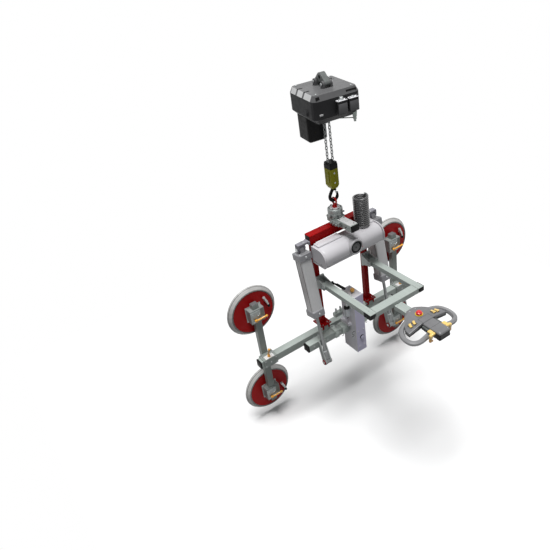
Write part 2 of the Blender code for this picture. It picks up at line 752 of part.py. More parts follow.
def make_hook(hook, latch):
    bowl = LEVEL["bowl"]
    path = hook_path(bowl)
    last = len(path) - 1
    thickness = [1.0 if index < last - 4 else 1.0 - 0.11 * (index - last + 4) for index in range(last + 1)]
    body = bent_bar(path, HOOK_WIRE, 3, thickness=thickness)
    top = LEVEL["block_bottom"] + HOOK_SHANK_DEPTH - FIT
    shank = drum(HOOK_SHANK, top - bowl - HOOK_BOWL_DROP + 0.008,
                 (0, 0, (top + bowl + HOOK_BOWL_DROP - 0.008) / 2), "Z", 24)
    collar = drum(0.0125, 0.006, (0, 0, LEVEL["block_bottom"] - FIT - 0.003), "Z", 24)
    pin_z = bowl + LATCH_PIN_RISE
    ear_y = LATCH_WIDTH / 2 + RUNNING + 0.001
    ears = [
        hull(drum(LATCH_HUB, 0.002, (LATCH_PIN_X, side * ear_y, pin_z), "Y", 12),
             block((0.004, 0.002, 0.010), (0.0, side * ear_y, pin_z + 0.002)))
        for side in (-1, 1)
    ]
    pin = drum(LATCH_PIN, 2 * ear_y + 0.004, (LATCH_PIN_X, 0, pin_z), "Y", 12)
    make_node("load_hook", "black", hook, body, (shank, collar, *ears, pin))

    tip_x = HOOK_BOWL - 0.0085
    tongue = hull(
        drum(LATCH_THICKNESS, LATCH_WIDTH, (LATCH_PIN_X, 0, pin_z), "Y", 12),
        drum(LATCH_THICKNESS / 2, LATCH_WIDTH, (tip_x, 0, bowl + LATCH_TIP_RISE), "Y", 12),
    )
    hub = drum(LATCH_HUB, LATCH_WIDTH, (LATCH_PIN_X, 0, pin_z), "Y", 16)
    bore = drum(LATCH_PIN + FIT, LATCH_WIDTH + 2 * SINK, (LATCH_PIN_X, 0, pin_z), "Y", 12)
    neck = drum(HOOK_SHANK + 2 * RUNNING, 0.060, (-0.0012, 0, bowl + 0.045), "Z", 24)
    make_node("hook_latch", "steel", latch, hub, (tongue,), (bore, neck))


def make_lifting_eye(hook):
    ring = bent_bar(
        [(0, EYE_RING * math.cos(math.tau * step / 20),
          LEVEL["ring"] + EYE_RING * math.sin(math.tau * step / 20))
         for step in range(20)], EYE_WIRE, 2, closed=True)
    low = LEVEL["ring"] - EYE_RING
    stem_end = UNION_TOP_Z - EYE_STEM_DEPTH
    stem = drum(EYE_STEM, low - stem_end, (0, 0, (low + stem_end) / 2), "Z", 24)
    collar = drum(EYE_COLLAR, EYE_COLLAR_HEIGHT, (0, 0, UNION_TOP_Z + RUNNING + EYE_COLLAR_HEIGHT / 2), "Z",
                  24)
    make_node("lifting_eye", "red", hook, ring, (stem, collar))


def make_rotary_union(frame):
    low = -UNION_HEIGHT
    groove = UNION_RADIUS - UNION_GROOVE
    bore = EYE_STEM + RUNNING
    floor = -EYE_STEM_DEPTH - RUNNING
    profile = (
        (bore, 0), (UNION_RADIUS - 0.006, 0), (UNION_RADIUS, -0.005), (UNION_RADIUS, low * 0.45),
        (groove, low * 0.50), (groove, low * 0.56), (UNION_RADIUS, low * 0.61), (UNION_RADIUS, low),
        (0, low), (0, floor), (bore, floor),
    )
    make_node("rotary_union", "cylinder_grey", frame,
              turned(profile, (0, 0, UNION_TOP_Z), steps=32, ring=True))


def make_head_beam(frame):
    top = LEVEL["head_top"]
    low = top - HEAD_PLATE_THICKNESS - HEAD_BEAM_HEIGHT
    body = span((-HEAD_BEAM_HALF, HEAD_BEAM_HALF), HEAD_BEAM_Y, (low, top - HEAD_PLATE_THICKNESS), 0.0015, 1)
    plate = block((2 * HEAD_PLATE_HALF, 2 * HEAD_PLATE_HALF, HEAD_PLATE_THICKNESS + SINK),
                  (0, 0, top - (HEAD_PLATE_THICKNESS + SINK) / 2))
    inside = span((-HEAD_BEAM_HALF + BEAM_WALL, HEAD_BEAM_HALF - BEAM_WALL),
                  (HEAD_BEAM_Y[0] - SINK, HEAD_BEAM_Y[1] + SINK),
                  (low + BEAM_WALL, top - HEAD_PLATE_THICKNESS - BEAM_WALL))
    make_node("head_beam", "aluminium", frame, body, (plate,), (inside,))

    wide, long, tall = VALVE_BLOCK_SIZE
    x = -HEAD_BEAM_HALF - FIT - wide / 2
    z = top - HEAD_PLATE_THICKNESS - FIT - SINK - tall / 2
    valve = block((wide, long, tall), (x, -long / 2 - VALVE_PORT, z), 0.002, 1)
    ports = [drum(VALVE_PORT, 0.012, (x - wide / 2 - 0.004, -long * share, z), "X", 12)
             for share in (0.30, 0.60, 0.90)]
    make_node("valve_block", "steel", frame, valve, ports)


def square_tube(length, across, along, wall, centre, axis, rounding=0.0015):
    """An open square tube and the cutter that hollows it."""
    sizes = {"X": (length, across, along), "Y": (across, length, along), "Z": (across, along, length)}
    outer = sizes[axis]
    inner = tuple(size + 2 * SINK if size == length else size - 2 * wall for size in outer)
    return block(outer, centre, rounding, 1), block(inner, centre)


def make_red_frame(frame):
    top, low = LEVEL["crossbar_top"], LEVEL["crossbar_bottom"]
    bar, hollow = square_tube(2 * CROSSBAR_HALF, CROSSBAR_SIDE, CROSSBAR_SIDE, BEAM_WALL,
                              (0, 0, (top + low) / 2), "X")
    make_node("frame_crossbar", "red", frame, bar, (), (hollow,))
    for name, side in (("upright_left", -1), ("upright_right", 1)):
        make_upright(frame, name, side * UPRIGHT_X)
    for name, side in (("cylinder_hanger_left", -1), ("cylinder_hanger_right", 1)):
        make_cylinder_hanger(frame, name, side)


def make_upright(frame, name, x):
    top = LEVEL["crossbar_bottom"] - FIT
    foot = UPRIGHT_FOOT_Z
    flange_low = foot - FLANGE_THICKNESS
    post = span((x - UPRIGHT_WIDTH / 2, x + UPRIGHT_WIDTH / 2), (-UPRIGHT_DEPTH / 2, UPRIGHT_DEPTH / 2),
                (foot - SINK, top), 0.0015, 1)
    flange = block((FLANGE_WIDTH, FLANGE_DEPTH, FLANGE_THICKNESS), (x, 0, foot - FLANGE_THICKNESS / 2),
                   0.001, 1)
    bolts = [
        drum(BOLT_HEAD, BOLT_HEAD_HEIGHT + SINK, (x + sx * BOLT_SPREAD_X, sy * BOLT_SPREAD_Y,
             foot + (BOLT_HEAD_HEIGHT - SINK) / 2), "Z", 6)
        for sx in (-1, 1) for sy in (-1, 1)
    ]
    offset = LUG_WIDTH / 2 + RUNNING + CHEEK_THICKNESS / 2
    cheeks = [
        hull(drum(CHEEK_RADIUS, CHEEK_THICKNESS, (x + side * offset, TILT_Y, LEVEL["tilt"]), "X", 16),
             block((CHEEK_THICKNESS, 2 * CHEEK_RADIUS, SINK), (x + side * offset, TILT_Y, flange_low + SINK)))
        for side in (-1, 1)
    ]
    pin = drum(TILT_PIN, 2 * offset + CHEEK_THICKNESS + 0.006, (x, TILT_Y, LEVEL["tilt"]), "X", 16)
    wall = BEAM_WALL - SINK
    inside = span((x - UPRIGHT_WIDTH / 2 + wall, x + UPRIGHT_WIDTH / 2 - wall),
                  (-UPRIGHT_DEPTH / 2 + wall, UPRIGHT_DEPTH / 2 - wall), (foot + SINK, top + SINK))
    make_node(name, "red", frame, post, (flange, *bolts, *cheeks, pin), (inside,))


def make_cylinder_hanger(frame, name, side):
    pivot_z = CYLINDER_PIVOT_Z
    offset = CLEVIS_WIDTH / 2 + RUNNING + HANGER_CHEEK / 2
    inner = CROSSBAR_HALF + FIT
    outer = CYLINDER_X + offset + HANGER_CHEEK / 2
    bridge = span((side * inner, side * outer), (-CLEVIS_RADIUS, CLEVIS_RADIUS),
                  (HANGER_TOP_Z - HANGER_BRIDGE, HANGER_TOP_Z), 0.001, 1)
    cheeks = [
        hull(drum(CLEVIS_RADIUS, HANGER_CHEEK, (side * CYLINDER_X + end * offset, 0, pivot_z), "X", 20),
             block((HANGER_CHEEK, 2 * CLEVIS_RADIUS, SINK),
                   (side * CYLINDER_X + end * offset, 0, HANGER_TOP_Z - HANGER_BRIDGE / 2)))
        for end in (-1, 1)
    ]
    pad = span((side * inner, side * (inner + HANGER_CHEEK)), (-CROSSBAR_SIDE * 0.44, CROSSBAR_SIDE * 0.44),
               (LEVEL["crossbar_bottom"] + SINK, HANGER_TOP_Z - SINK), 0.001, 1)
    pin = drum(HANGER_PIN, 2 * offset + HANGER_CHEEK + 0.006, (side * CYLINDER_X, 0, pivot_z), "X", 16)
    make_node(name, "pale", frame, bridge, (*cheeks, pad, pin))


def vacuum_outline(x, inset=0.0):
    """The housing's section: flat back, large round top front, small round bottom front."""
    top = LEVEL["vac_top"] - inset
    low = LEVEL["vac_top"] - VAC_HEIGHT + inset
    front = VAC_FRONT_Y + inset
    points = [(x, VAC_BACK_Y, low), (x, VAC_BACK_Y, top)]
    for radius, level, start in ((VAC_ROUND_TOP - inset, top, 0), (VAC_ROUND_BOTTOM - inset, low, 1)):
        for step in range(VAC_ARC_STEPS + 1):
            angle = math.pi / 2 * (1 + start + step / VAC_ARC_STEPS)
            centre_z = level - radius if start == 0 else level + radius
            points.append((x, front + radius + radius * math.cos(angle), centre_z + radius * math.sin(angle)))
    return points


def make_vacuum_unit(frame):
    inner = VAC_HALF_LENGTH - VAC_END_PLATE
    reach = inner - FIT
    top = LEVEL["vac_top"]
    gauge_z = top - GAUGE_DROP
    cover = loft([vacuum_outline(-reach), vacuum_outline(reach)])
    cavity = loft([
        [(x, y + (SINK if y == VAC_BACK_Y else 0), z) for x, y,
         z in vacuum_outline(side * (reach + SINK), VAC_SHELL)]
        for side in (-1, 1)
    ])
    gauge_hole = drum(GAUGE_RADIUS + FIT, 0.060, (0, VAC_FRONT_Y + 0.014, gauge_z), "Y", 32)
    make_node("vacuum_unit_cover", "silver", frame, cover, (), (cavity, gauge_hole))

    plates = [loft([vacuum_outline(side * inner), vacuum_outline(side * VAC_HALF_LENGTH)])
              for side in (-1, 1)]
    shell = VAC_SHELL + FIT
    back = span((-inner - SINK, inner + SINK), (VAC_BACK_Y, VAC_BACK_Y - VAC_END_PLATE),
                (top - VAC_HEIGHT + shell, top - shell))
    feet = [
        span((side * UPRIGHT_X - VAC_FOOT_HALF, side * UPRIGHT_X + VAC_FOOT_HALF),
             (VAC_BACK_Y - SINK, -UPRIGHT_DEPTH / 2 - FIT), VAC_FOOT_Z)
        for side in (-1, 1)
    ]
    middle = (top - VAC_HEIGHT / 2)
    pump = drum(PUMP_RADIUS, 2 * PUMP_HALF_LENGTH,
                (0, VAC_BACK_Y - VAC_END_PLATE - PUMP_RADIUS + 0.003, middle), "X", 20)
    make_node("vacuum_pump_body", "cylinder_grey", frame, back, (*plates, *feet, pump))

    depth = GAUGE_DEPTH
    profile = ((0, depth), (GAUGE_RADIUS - 0.004, depth), (GAUGE_RADIUS - 0.004, depth + GAUGE_PROUD * 0.5),
               (GAUGE_RADIUS - 0.001, depth + GAUGE_PROUD * 0.5), (GAUGE_RADIUS, depth),
               (GAUGE_RADIUS, 0), (0, 0))
    back_y = VAC_BACK_Y - VAC_END_PLATE - 2 * PUMP_RADIUS + 0.003 - FIT
    length = abs(VAC_FRONT_Y) + GAUGE_PROUD - abs(back_y)
    scaled = [(radius, height * length / (depth + GAUGE_PROUD)) for radius, height in profile]
    make_node("vacuum_gauge", "cylinder_grey", frame,
              turned(scaled, (0, back_y, gauge_z), (math.pi / 2, 0, 0), 32))

    hose_y = -CROSSBAR_SIDE / 2 - FIT - HOSE_RADIUS
    hose = drum(HOSE_RADIUS, HOSE_HEIGHT, (HOSE_X, hose_y, top + FIT + HOSE_HEIGHT / 2), "Z", 24)
    bore = drum(HOSE_BORE, HOSE_HEIGHT + 2 * SINK, (HOSE_X, hose_y, top + FIT + HOSE_HEIGHT / 2), "Z", 24)
    make_node("spiral_hose", "black", frame, hose, (), (bore,))


def make_cylinder(name, empty):
    """In the cylinder's own frame: pin at the origin, barrel down -Z."""
    start = -CYLINDER_LUG
    end = start - CYLINDER_LENGTH
    barrel = span((-CYLINDER_BODY / 2, CYLINDER_BODY / 2), (-CYLINDER_BODY / 2, CYLINDER_BODY / 2),
                  (end + SINK, start - SINK), 0.006, 2)
    caps = [
        span((-CYLINDER_CAP / 2, CYLINDER_CAP / 2), (-CYLINDER_CAP / 2, CYLINDER_CAP / 2), ends, 0.004, 1)
        for ends in ((start - CAP_SKIRT, start), (end, end + CAP_SKIRT))
    ]
    lug = hull(drum(CLEVIS_RADIUS, CLEVIS_WIDTH, (0, 0, 0), "X", 20),
               block((CLEVIS_WIDTH, 2 * CLEVIS_RADIUS, SINK), (0, 0, start - SINK)))
    eye = drum(HANGER_PIN + FIT, CLEVIS_WIDTH + 2 * SINK, (0, 0, 0), "X", 16)
    bore_top = start - CAP_LENGTH
    bore_low = end + CAP_LENGTH / 2
    bore = drum(CYLINDER_BORE, bore_top - bore_low, (0, 0, (bore_top + bore_low) / 2), "Z", 24)
    gland = drum(ROD_RADIUS + RUNNING, CAP_LENGTH + 2 * SINK, (0, 0, end + CAP_LENGTH / 2 - SINK), "Z", 20)
    grooves = [
        span((side * CYLINDER_BODY / 2 - 0.002, side * CYLINDER_BODY / 2 + SINK), (-0.004, 0.004),
             (end + CAP_SKIRT + SINK, start - CAP_SKIRT - SINK))
        for side in (-1, 1)
    ]
    make_node(name, "cylinder_grey", empty, barrel, (*caps, lug), (eye, bore, gland, *grooves))


def make_piston_rod(name, empty):
    """Same frame as its cylinder: the eye sits at the crank pin."""
    eye_z = -CYLINDER_SPAN.length
    top = -ROD_REACH
    rod = drum(ROD_RADIUS, top - eye_z, (0, 0, (top + eye_z) / 2), "Z", 20)
    piston = drum(PISTON_RADIUS, PISTON_LENGTH, (0, 0, top - PISTON_LENGTH / 2), "Z", 24)
    eye = drum(CLEVIS_RADIUS, CLEVIS_WIDTH, (0, 0, eye_z), "X", 20)
    neck = block((CLEVIS_WIDTH, CLEVIS_WIDTH, 2 * CLEVIS_WIDTH),
                 (0, 0, eye_z + CLEVIS_RADIUS + CLEVIS_WIDTH), 0.002, 1)
    make_node(name, "steel", empty, rod, (piston, eye, neck))


def make_tilt_cylinders(frame):
    for side_name, side in (("left", -1), ("right", 1)):
        place = (side * CYLINDER_X, 0, CYLINDER_PIVOT_Z)
        swing = pivot("cylinder_" + side_name + "_swing", place, frame, (CYLINDER_LEAN, 0, 0), True)
        make_cylinder("cylinder_" + side_name, swing)
        make_piston_rod("piston_rod_" + side_name, swing)


def make_pivot_beam(tilt):
    top = LEVEL["beam_top"]
    low = top - BEAM_SIDE
    front = PIVOT_BEAM_Y - BEAM_SIDE / 2
    back = PIVOT_BEAM_Y + BEAM_SIDE / 2
    beam, hollow = square_tube(2 * PIVOT_BEAM_HALF, BEAM_SIDE, BEAM_SIDE, BEAM_WALL,
                               (0, PIVOT_BEAM_Y, (top + low) / 2), "X")
    extra = []
    bores = [hollow]
    for side in (-1, 1):
        x = side * UPRIGHT_X
        extra.append(hull(
            drum(TILT_LUG_RADIUS, LUG_WIDTH, (x, TILT_Y, LEVEL["tilt"]), "X", 20),
            span((x - LUG_WIDTH / 2, x + LUG_WIDTH / 2), (back - SINK, TILT_Y + TILT_LUG_RADIUS),
                 (low + SINK * 2, low + SINK * 6)),
        ))
        bores.append(drum(TILT_PIN + RUNNING / 2, LUG_WIDTH + 2 * SINK, (x, TILT_Y, LEVEL["tilt"]), "X", 16))
        offset = CLEVIS_WIDTH / 2 + RUNNING + CRANK_PLATE / 2
        for end in (-1, 1):
            plate_x = side * CYLINDER_X + end * offset
            extra.append(hull(
                drum(CRANK_RADIUS, CRANK_PLATE, (plate_x, CRANK_PIN_Y, CRANK_PIN_Z), "X", 20),
                span((plate_x - CRANK_PLATE / 2, plate_x + CRANK_PLATE / 2),
                     (front - CRANK_ROOT, front + SINK),
                     (low + SINK, top - SINK)),
            ))
            bores.append(drum(CRANK_BORE, CRANK_PLATE + 2 * SINK, (plate_x, CRANK_PIN_Y, CRANK_PIN_Z), "X",
                              16))
    make_node("pivot_beam", "aluminium", tilt, beam, extra, bores)


def make_cross_beam(tilt):
    half = CROSS_BEAM_SIDE / 2
    beam, hollow = square_tube(2 * CROSS_BEAM_HALF, CROSS_BEAM_SIDE, CROSS_BEAM_SIDE, BEAM_WALL,
                               (0, CROSS_BEAM_Y, CROSS_BEAM_Z), "X")
    back = PIVOT_BEAM_Y + BEAM_SIDE / 2 + FIT
    top = LEVEL["beam_top"]
    ties = []
    for side in (-1, 1):
        x = (side * TIE_X - TIE_THICKNESS / 2, side * TIE_X + TIE_THICKNESS / 2)
        ties.append(hull(
            span(x, (back, back + 0.008), (top - BEAM_SIDE, top)),
            span(x, (CROSS_BEAM_Y - half - SINK, CROSS_BEAM_Y - half + SINK * 2),
                 (CROSS_BEAM_Z - half + SINK, CROSS_BEAM_Z + half - SINK)),
        ))
    make_node("cross_beam", "aluminium", tilt, beam, ties, (hollow,))


def make_valve_box(tilt, knob):
    front, back = BOX_Y
    low, top = BOX_Z
    beam_top = LEVEL["beam_top"]
    beam_low = beam_top - BEAM_SIDE
    beam_front = PIVOT_BEAM_Y - BEAM_SIDE / 2
    body = span((-BOX_HALF_X, BOX_HALF_X), BOX_Y, BOX_Z, 0.0015, 1)
    shoe_x, shoe_y, shoe_z = BOX_SHOE
    shoe = span((-BOX_HALF_X - shoe_x, -BOX_HALF_X + BOX_SHEET / 2), (back - shoe_y, back),
                (beam_top + FIT, beam_top + FIT + shoe_z), 0.001, 1)
    port = drum(BOX_PORT, 0.010, (0.004, front - 0.003, BOX_PORT_Z), "Y", 16)
    inside = span((-BOX_HALF_X + BOX_SHEET, BOX_HALF_X - BOX_SHEET), (front + BOX_SHEET, back + SINK),
                  (low + BOX_SHEET, top - BOX_SHEET))
    notch = span((-BOX_HALF_X - SINK * 2, BOX_HALF_X + SINK * 2), (beam_front - FIT, back + SINK * 2),
                 (beam_low - FIT, beam_top + FIT))
    stem_hole = drum(KNOB_STEM + RUNNING, 4 * BOX_SHEET, (0, KNOB_Y, top), "Z", 16)
    make_node("valve_box", "pale", tilt, body, (shoe, port), (inside, notch, stem_hole))

    bottom = -BOX_SHEET
    neck = KNOB_STEM_HEIGHT
    dome = [
        (KNOB_RADIUS * math.cos(math.radians(angle)),
         neck + KNOB_RADIUS * (0.75 + math.sin(math.radians(angle))))
        for angle in (60, 35, 10, -15)
    ]
    profile = ((0, neck + KNOB_RADIUS * 1.75), *dome, (KNOB_RADIUS * 0.8, neck), (KNOB_STEM, neck),
               (KNOB_STEM, bottom), (0, bottom))
    make_node("box_knob", "orange", knob, turned(profile, (0, KNOB_Y, top + FIT), steps=24))

    middle = beam_top + MANIFOLD_RISE
    y = (back + FIT, back + FIT + MANIFOLD_DEPTH)
    block_z = (middle - MANIFOLD_HEIGHT / 2, middle + MANIFOLD_HEIGHT / 2)
    body = span(MANIFOLD_X, y, block_z, 0.002, 1)
    length = MANIFOLD_X[1] - MANIFOLD_X[0]
    fittings = [
        drum(0.006, 0.018, (MANIFOLD_X[0] + length * (index + 0.5) / MANIFOLD_PORTS, sum(y) / 2,
             block_z[1] + 0.008), "Z", 8)
        for index in range(MANIFOLD_PORTS)
    ]
    make_node("manifold", "steel", tilt, body, fittings)
    centre = (MANIFOLD_X[1] - FILTER_RADIUS - SINK, back + 2 * FIT + FILTER_RADIUS)
    top_z = block_z[0] - FIT
    profile = ((0, 0), (FILTER_RADIUS * 0.6, 0), (FILTER_RADIUS, -0.005),
               (FILTER_RADIUS, -0.6 * FILTER_LENGTH),
               (FILTER_RADIUS * 0.85, -0.64 * FILTER_LENGTH), (FILTER_RADIUS * 0.85, -0.9 * FILTER_LENGTH),
               (FILTER_RADIUS * 0.45, -FILTER_LENGTH), (0, -FILTER_LENGTH))
    make_node("vacuum_filter", "clear", tilt, turned(profile, (*centre, top_z), steps=20))


def make_pad_arm(name, empty, x):
    beam_back = CROSS_BEAM_Y + CROSS_BEAM_SIDE / 2
    half = CROSS_BEAM_SIDE / 2
    arm_front = arm_front_y()
    arm = span((x - ARM_WIDTH / 2, x + ARM_WIDTH / 2), (arm_front, arm_front + ARM_DEPTH), ARM_Z, 0.0015, 1)
    sleeve = span((x - SLEEVE_HALF, x + SLEEVE_HALF),
                  (CROSS_BEAM_Y - half - RUNNING - SLEEVE_WALL, arm_front + SINK),
                  (CROSS_BEAM_Z - half - RUNNING - SLEEVE_WALL,
                   CROSS_BEAM_Z + half + RUNNING + SLEEVE_WALL), 0.002, 1)
    passage = span((x - SLEEVE_HALF - SINK, x + SLEEVE_HALF + SINK),
                   (CROSS_BEAM_Y - half - RUNNING, beam_back + RUNNING),
                   (CROSS_BEAM_Z - half - RUNNING, CROSS_BEAM_Z + half + RUNNING))
    inside = span((x - ARM_WIDTH / 2 + ARM_WALL, x + ARM_WIDTH / 2 - ARM_WALL),
                  (arm_front + ARM_WALL, arm_front + ARM_DEPTH - ARM_WALL),
                  (ARM_Z[0] - SINK, ARM_Z[1] + SINK))
    make_node(name, "aluminium", empty, arm, (sleeve,), (passage, inside))


def arm_front_y():
    return CROSS_BEAM_Y + CROSS_BEAM_SIDE / 2 + RUNNING + SLEEVE_WALL


def make_clamp_lever(name, empty, x):
    base = CROSS_BEAM_Z + CROSS_BEAM_SIDE / 2 + RUNNING + SLEEVE_WALL + FIT
    hub = drum(LEVER_HUB, LEVER_HUB_HEIGHT, (x, LEVER_Y, base + LEVER_HUB_HEIGHT / 2), "Z", 16)
    rise = base + LEVER_HUB_HEIGHT - LEVER_BAR
    path = smooth_path([(x, LEVER_Y, rise), (x, LEVER_Y - 0.002, rise + 0.018),
                        (x, LEVER_Y - 0.010, rise + LEVER_LENGTH * 0.6),
                        (x, LEVER_Y - 0.018, rise + LEVER_LENGTH)], 2)
    make_node(name, "orange", empty, hub, (bent_bar(path, LEVER_BAR, 2),))


def make_pad(name, empty, x, z):
    front = arm_front_y()
    back = front + ARM_DEPTH
    plate_front = back + RUNNING + HOLDER_WALL
    plate_back = plate_front + PAD_PLATE_THICKNESS
    half = ARM_WIDTH / 2 + RUNNING
    holder = span((x - HOLDER_HALF_X, x + HOLDER_HALF_X), (front - RUNNING - HOLDER_WALL, plate_front + SINK),
                  (z - HOLDER_HEIGHT / 2, z + HOLDER_HEIGHT / 2), 0.003, 1)
    disc = ((0, -plate_front), (PAD_PLATE_RADIUS, -plate_front), (PAD_PLATE_RADIUS, -plate_back),
            (0, -plate_back))
    plate = turned(disc, (x, 0, z), (math.pi / 2, 0, 0), PAD_STEPS)
    passage = span((x - half, x + half), (front - RUNNING, back + RUNNING),
                   (z - HOLDER_HEIGHT / 2 - SINK, z + HOLDER_HEIGHT / 2 + SINK))
    make_node("pad_holder_" + name, "red", empty, plate, (holder,), (passage,))

    rim = PAD_PLATE_RADIUS + FIT
    seat = plate_back + FIT
    lip = PAD_LIP_RADIUS
    reach = plate_front + PAD_LIP_REACH
    profile = (
        (rim, plate_front), (rim + 0.006, plate_front - 0.003), (lip - 0.008, plate_front + 0.012),
        (lip, plate_front + PAD_LIP_FOLD), (lip - 0.007, reach), (lip - 0.012, reach),
        (lip - 0.016, plate_front + PAD_LIP_FOLD), (lip - PAD_WEB_INSET, plate_front + PAD_WEB_REACH),
        (PAD_HOLE_RADIUS, plate_front + PAD_WEB_REACH), (PAD_HOLE_RADIUS, seat), (rim, seat),
    )
    spun = [(radius, -y) for radius, y in profile]
    make_node("pad_seal_" + name, "rubber", empty,
              turned(spun, (x, 0, z), (math.pi / 2, 0, 0), PAD_STEPS, ring=True))


def make_pad_frame(tilt):
    for side_name, side in (("left", -1), ("right", 1)):
        x = side * ARM_X
        slide = pivot("arm_" + side_name + "_slide", (x, CROSS_BEAM_Y, CROSS_BEAM_Z), tilt)
        make_pad_arm("pad_arm_" + side_name, slide, x)
        lever = pivot("clamp_" + side_name + "_turn", (x, LEVER_Y, CROSS_BEAM_Z), slide)
        make_clamp_lever("clamp_lever_" + side_name, lever, x)
        for level_name, z in zip(("lower", "upper"), PAD_Z):
            name = level_name + "_" + side_name
            pad = pivot("pad_" + name + "_slide", (x, arm_front_y(), z), slide)
            make_pad(name, pad, x, z)


def make_handle_brackets(frame, lock):
    offset = HANDLE_WIDTH / 2 + RUNNING + BRACKET_CHEEK / 2
    face = -UPRIGHT_DEPTH / 2 - FIT
    for name, side in (("handle_bracket_left", -1), ("handle_bracket_right", 1)):
        x = side * HANDLE_X
        web = span((x - offset - BRACKET_CHEEK / 2, x + offset + BRACKET_CHEEK / 2),
                   (face - BRACKET_WEB, face),
                   (HANDLE_Z - BRACKET_HEIGHT / 2, HANDLE_Z + BRACKET_HEIGHT / 2), 0.001, 1)
        cheeks = [
            hull(drum(BRACKET_NOSE, BRACKET_CHEEK, (x + end * offset, HANDLE_PIVOT_Y, HANDLE_Z), "X", 16),
                 block((BRACKET_CHEEK, SINK, BRACKET_HEIGHT * 0.8),
                       (x + end * offset, face - BRACKET_WEB / 2, HANDLE_Z)))
            for end in (-1, 1)
        ]
        pin = drum(HANDLE_PIN, 2 * offset + BRACKET_CHEEK + 0.004, (x, HANDLE_PIVOT_Y, HANDLE_Z), "X", 16)
        make_node(name, "steel", frame, web, (*cheeks, pin))

    x = -HANDLE_X + offset + BRACKET_CHEEK / 2 + 0.002 + FIT
    hub = drum(LOCK_HUB, LOCK_HUB_LENGTH, (x + LOCK_HUB_LENGTH / 2, HANDLE_PIVOT_Y, HANDLE_Z), "X", 20)
    path = smooth_path([(x + LOCK_HUB_LENGTH / 2, HANDLE_PIVOT_Y, HANDLE_Z),
                        (x + LOCK_HUB_LENGTH, HANDLE_PIVOT_Y - LOCK_LENGTH * 0.4, HANDLE_Z + 0.004),
                        (x + LOCK_HUB_LENGTH + 0.008, HANDLE_PIVOT_Y - LOCK_LENGTH, HANDLE_Z)], 3)
    make_node("frame_lock_lever", "black", lock, hub, (bent_bar(path, LOCK_BAR, 2),))


def make_handle_frame(handle):
    z = (HANDLE_Z - HANDLE_HEIGHT / 2, HANDLE_Z + HANDLE_HEIGHT / 2)
    inner_z = (z[0] + HANDLE_WALL, z[1] - HANDLE_WALL)
    tail = HANDLE_PIVOT_Y + HANDLE_TAIL
    arms, hollows, bores = [], [], []
    for side in (-1, 1):
        x = (side * HANDLE_X - HANDLE_WIDTH / 2, side * HANDLE_X + HANDLE_WIDTH / 2)
        arms.append(span(x, (HANDLE_FRONT_Y, tail), z, 0.0015, 1))
        hollows.append(span((x[0] + HANDLE_WALL, x[1] - HANDLE_WALL), (HANDLE_FRONT_Y - SINK, tail + SINK),
                            inner_z))
        bores.append(drum(HANDLE_PIN + RUNNING / 2, HANDLE_WIDTH + 2 * SINK,
                          (side * HANDLE_X, HANDLE_PIVOT_Y, HANDLE_Z), "X", 16))
    gap = HANDLE_X - HANDLE_WIDTH / 2
    bar_y = (HANDLE_FRONT_Y, HANDLE_FRONT_Y + HANDLE_BAR_DEPTH)
    bar = span((-gap - SINK, gap + SINK), (bar_y[0] + SINK / 2, bar_y[1]), (z[0] + SINK / 2, z[1] - SINK / 2))
    bar_hollow = span((-gap - 2 * HANDLE_WALL, gap + 2 * HANDLE_WALL),
                      (bar_y[0] + HANDLE_WALL, bar_y[1] - HANDLE_WALL),
                      (inner_z[0] + SINK, inner_z[1] - SINK))
    stub_top = z[1] - STUB_TOP_DROP
    stub = span((-STUB_HALF, STUB_HALF), (STUB_END_Y, HANDLE_FRONT_Y + SINK * 2),
                (stub_top - STUB_HEIGHT, stub_top), 0.001, 1)
    stub_hollow = span((-STUB_HALF + HANDLE_WALL, STUB_HALF - HANDLE_WALL),
                       (STUB_END_Y - SINK, HANDLE_FRONT_Y - SINK),
                       (stub_top - STUB_HEIGHT + HANDLE_WALL, stub_top - HANDLE_WALL))
    make_node("handle_frame", "aluminium", handle, arms[0], (arms[1], bar, stub),
              (*hollows, bar_hollow, stub_hollow, *bores))


def control_section(y, half):
    """One cross-section of the housing: flat in the middle, drooping to each side."""
    flat = min(CONTROL_FLAT, half * 0.6)
    edge = CONTROL_TOP_Z - CONTROL_DROOP * (half - flat)
    low = CONTROL_TOP_Z - CONTROL_HEIGHT
    low_edge = edge - CONTROL_HEIGHT * 0.8
    return [(-half, y, edge), (-flat, y, CONTROL_TOP_Z), (flat, y, CONTROL_TOP_Z), (half, y, edge),
            (half, y, low_edge), (flat, y, low), (-flat, y, low), (-half, y, low_edge)]


def make_control_housing(handle):
    body = round_edges(loft([control_section(y, half) for y, half in CONTROL_OUTLINE]), 0.003, 2)
    pod_top = CONTROL_TOP_Z - POD_DROP
    pod = span((-POD_HALF, POD_HALF), POD_Y, (pod_top - POD_HEIGHT, pod_top), 0.008, 3)
    stub_top = HANDLE_Z + HANDLE_HEIGHT / 2 - STUB_TOP_DROP
    seat = span((-STUB_HALF - FIT, STUB_HALF + FIT), (STUB_END_Y - FIT, POD_Y[1] * 0.5),
                (stub_top - STUB_HEIGHT - 0.01, stub_top + FIT))
    stop_well = drum(STOP_STEM + RUNNING, STOP_DEPTH + SINK,
                     (0, STOP_Y, CONTROL_TOP_Z - (STOP_DEPTH - SINK) / 2), "Z", 20)
    sockets = [
        bent_bar(smooth_path(mirrored(GRIP_PATH, side), GRIP_STEPS), GRIP_RADIUS + FIT, 2) for side in (-1, 1)
    ]
    wells = [button_shape(side, x, FIT + RUNNING, BUTTON_TRAVEL + SINK) for side in (-1, 1) for x in BUTTON_X]
    make_node("control_housing", "cylinder_grey", handle, body, (pod,), (seat, stop_well, *sockets, *wells))


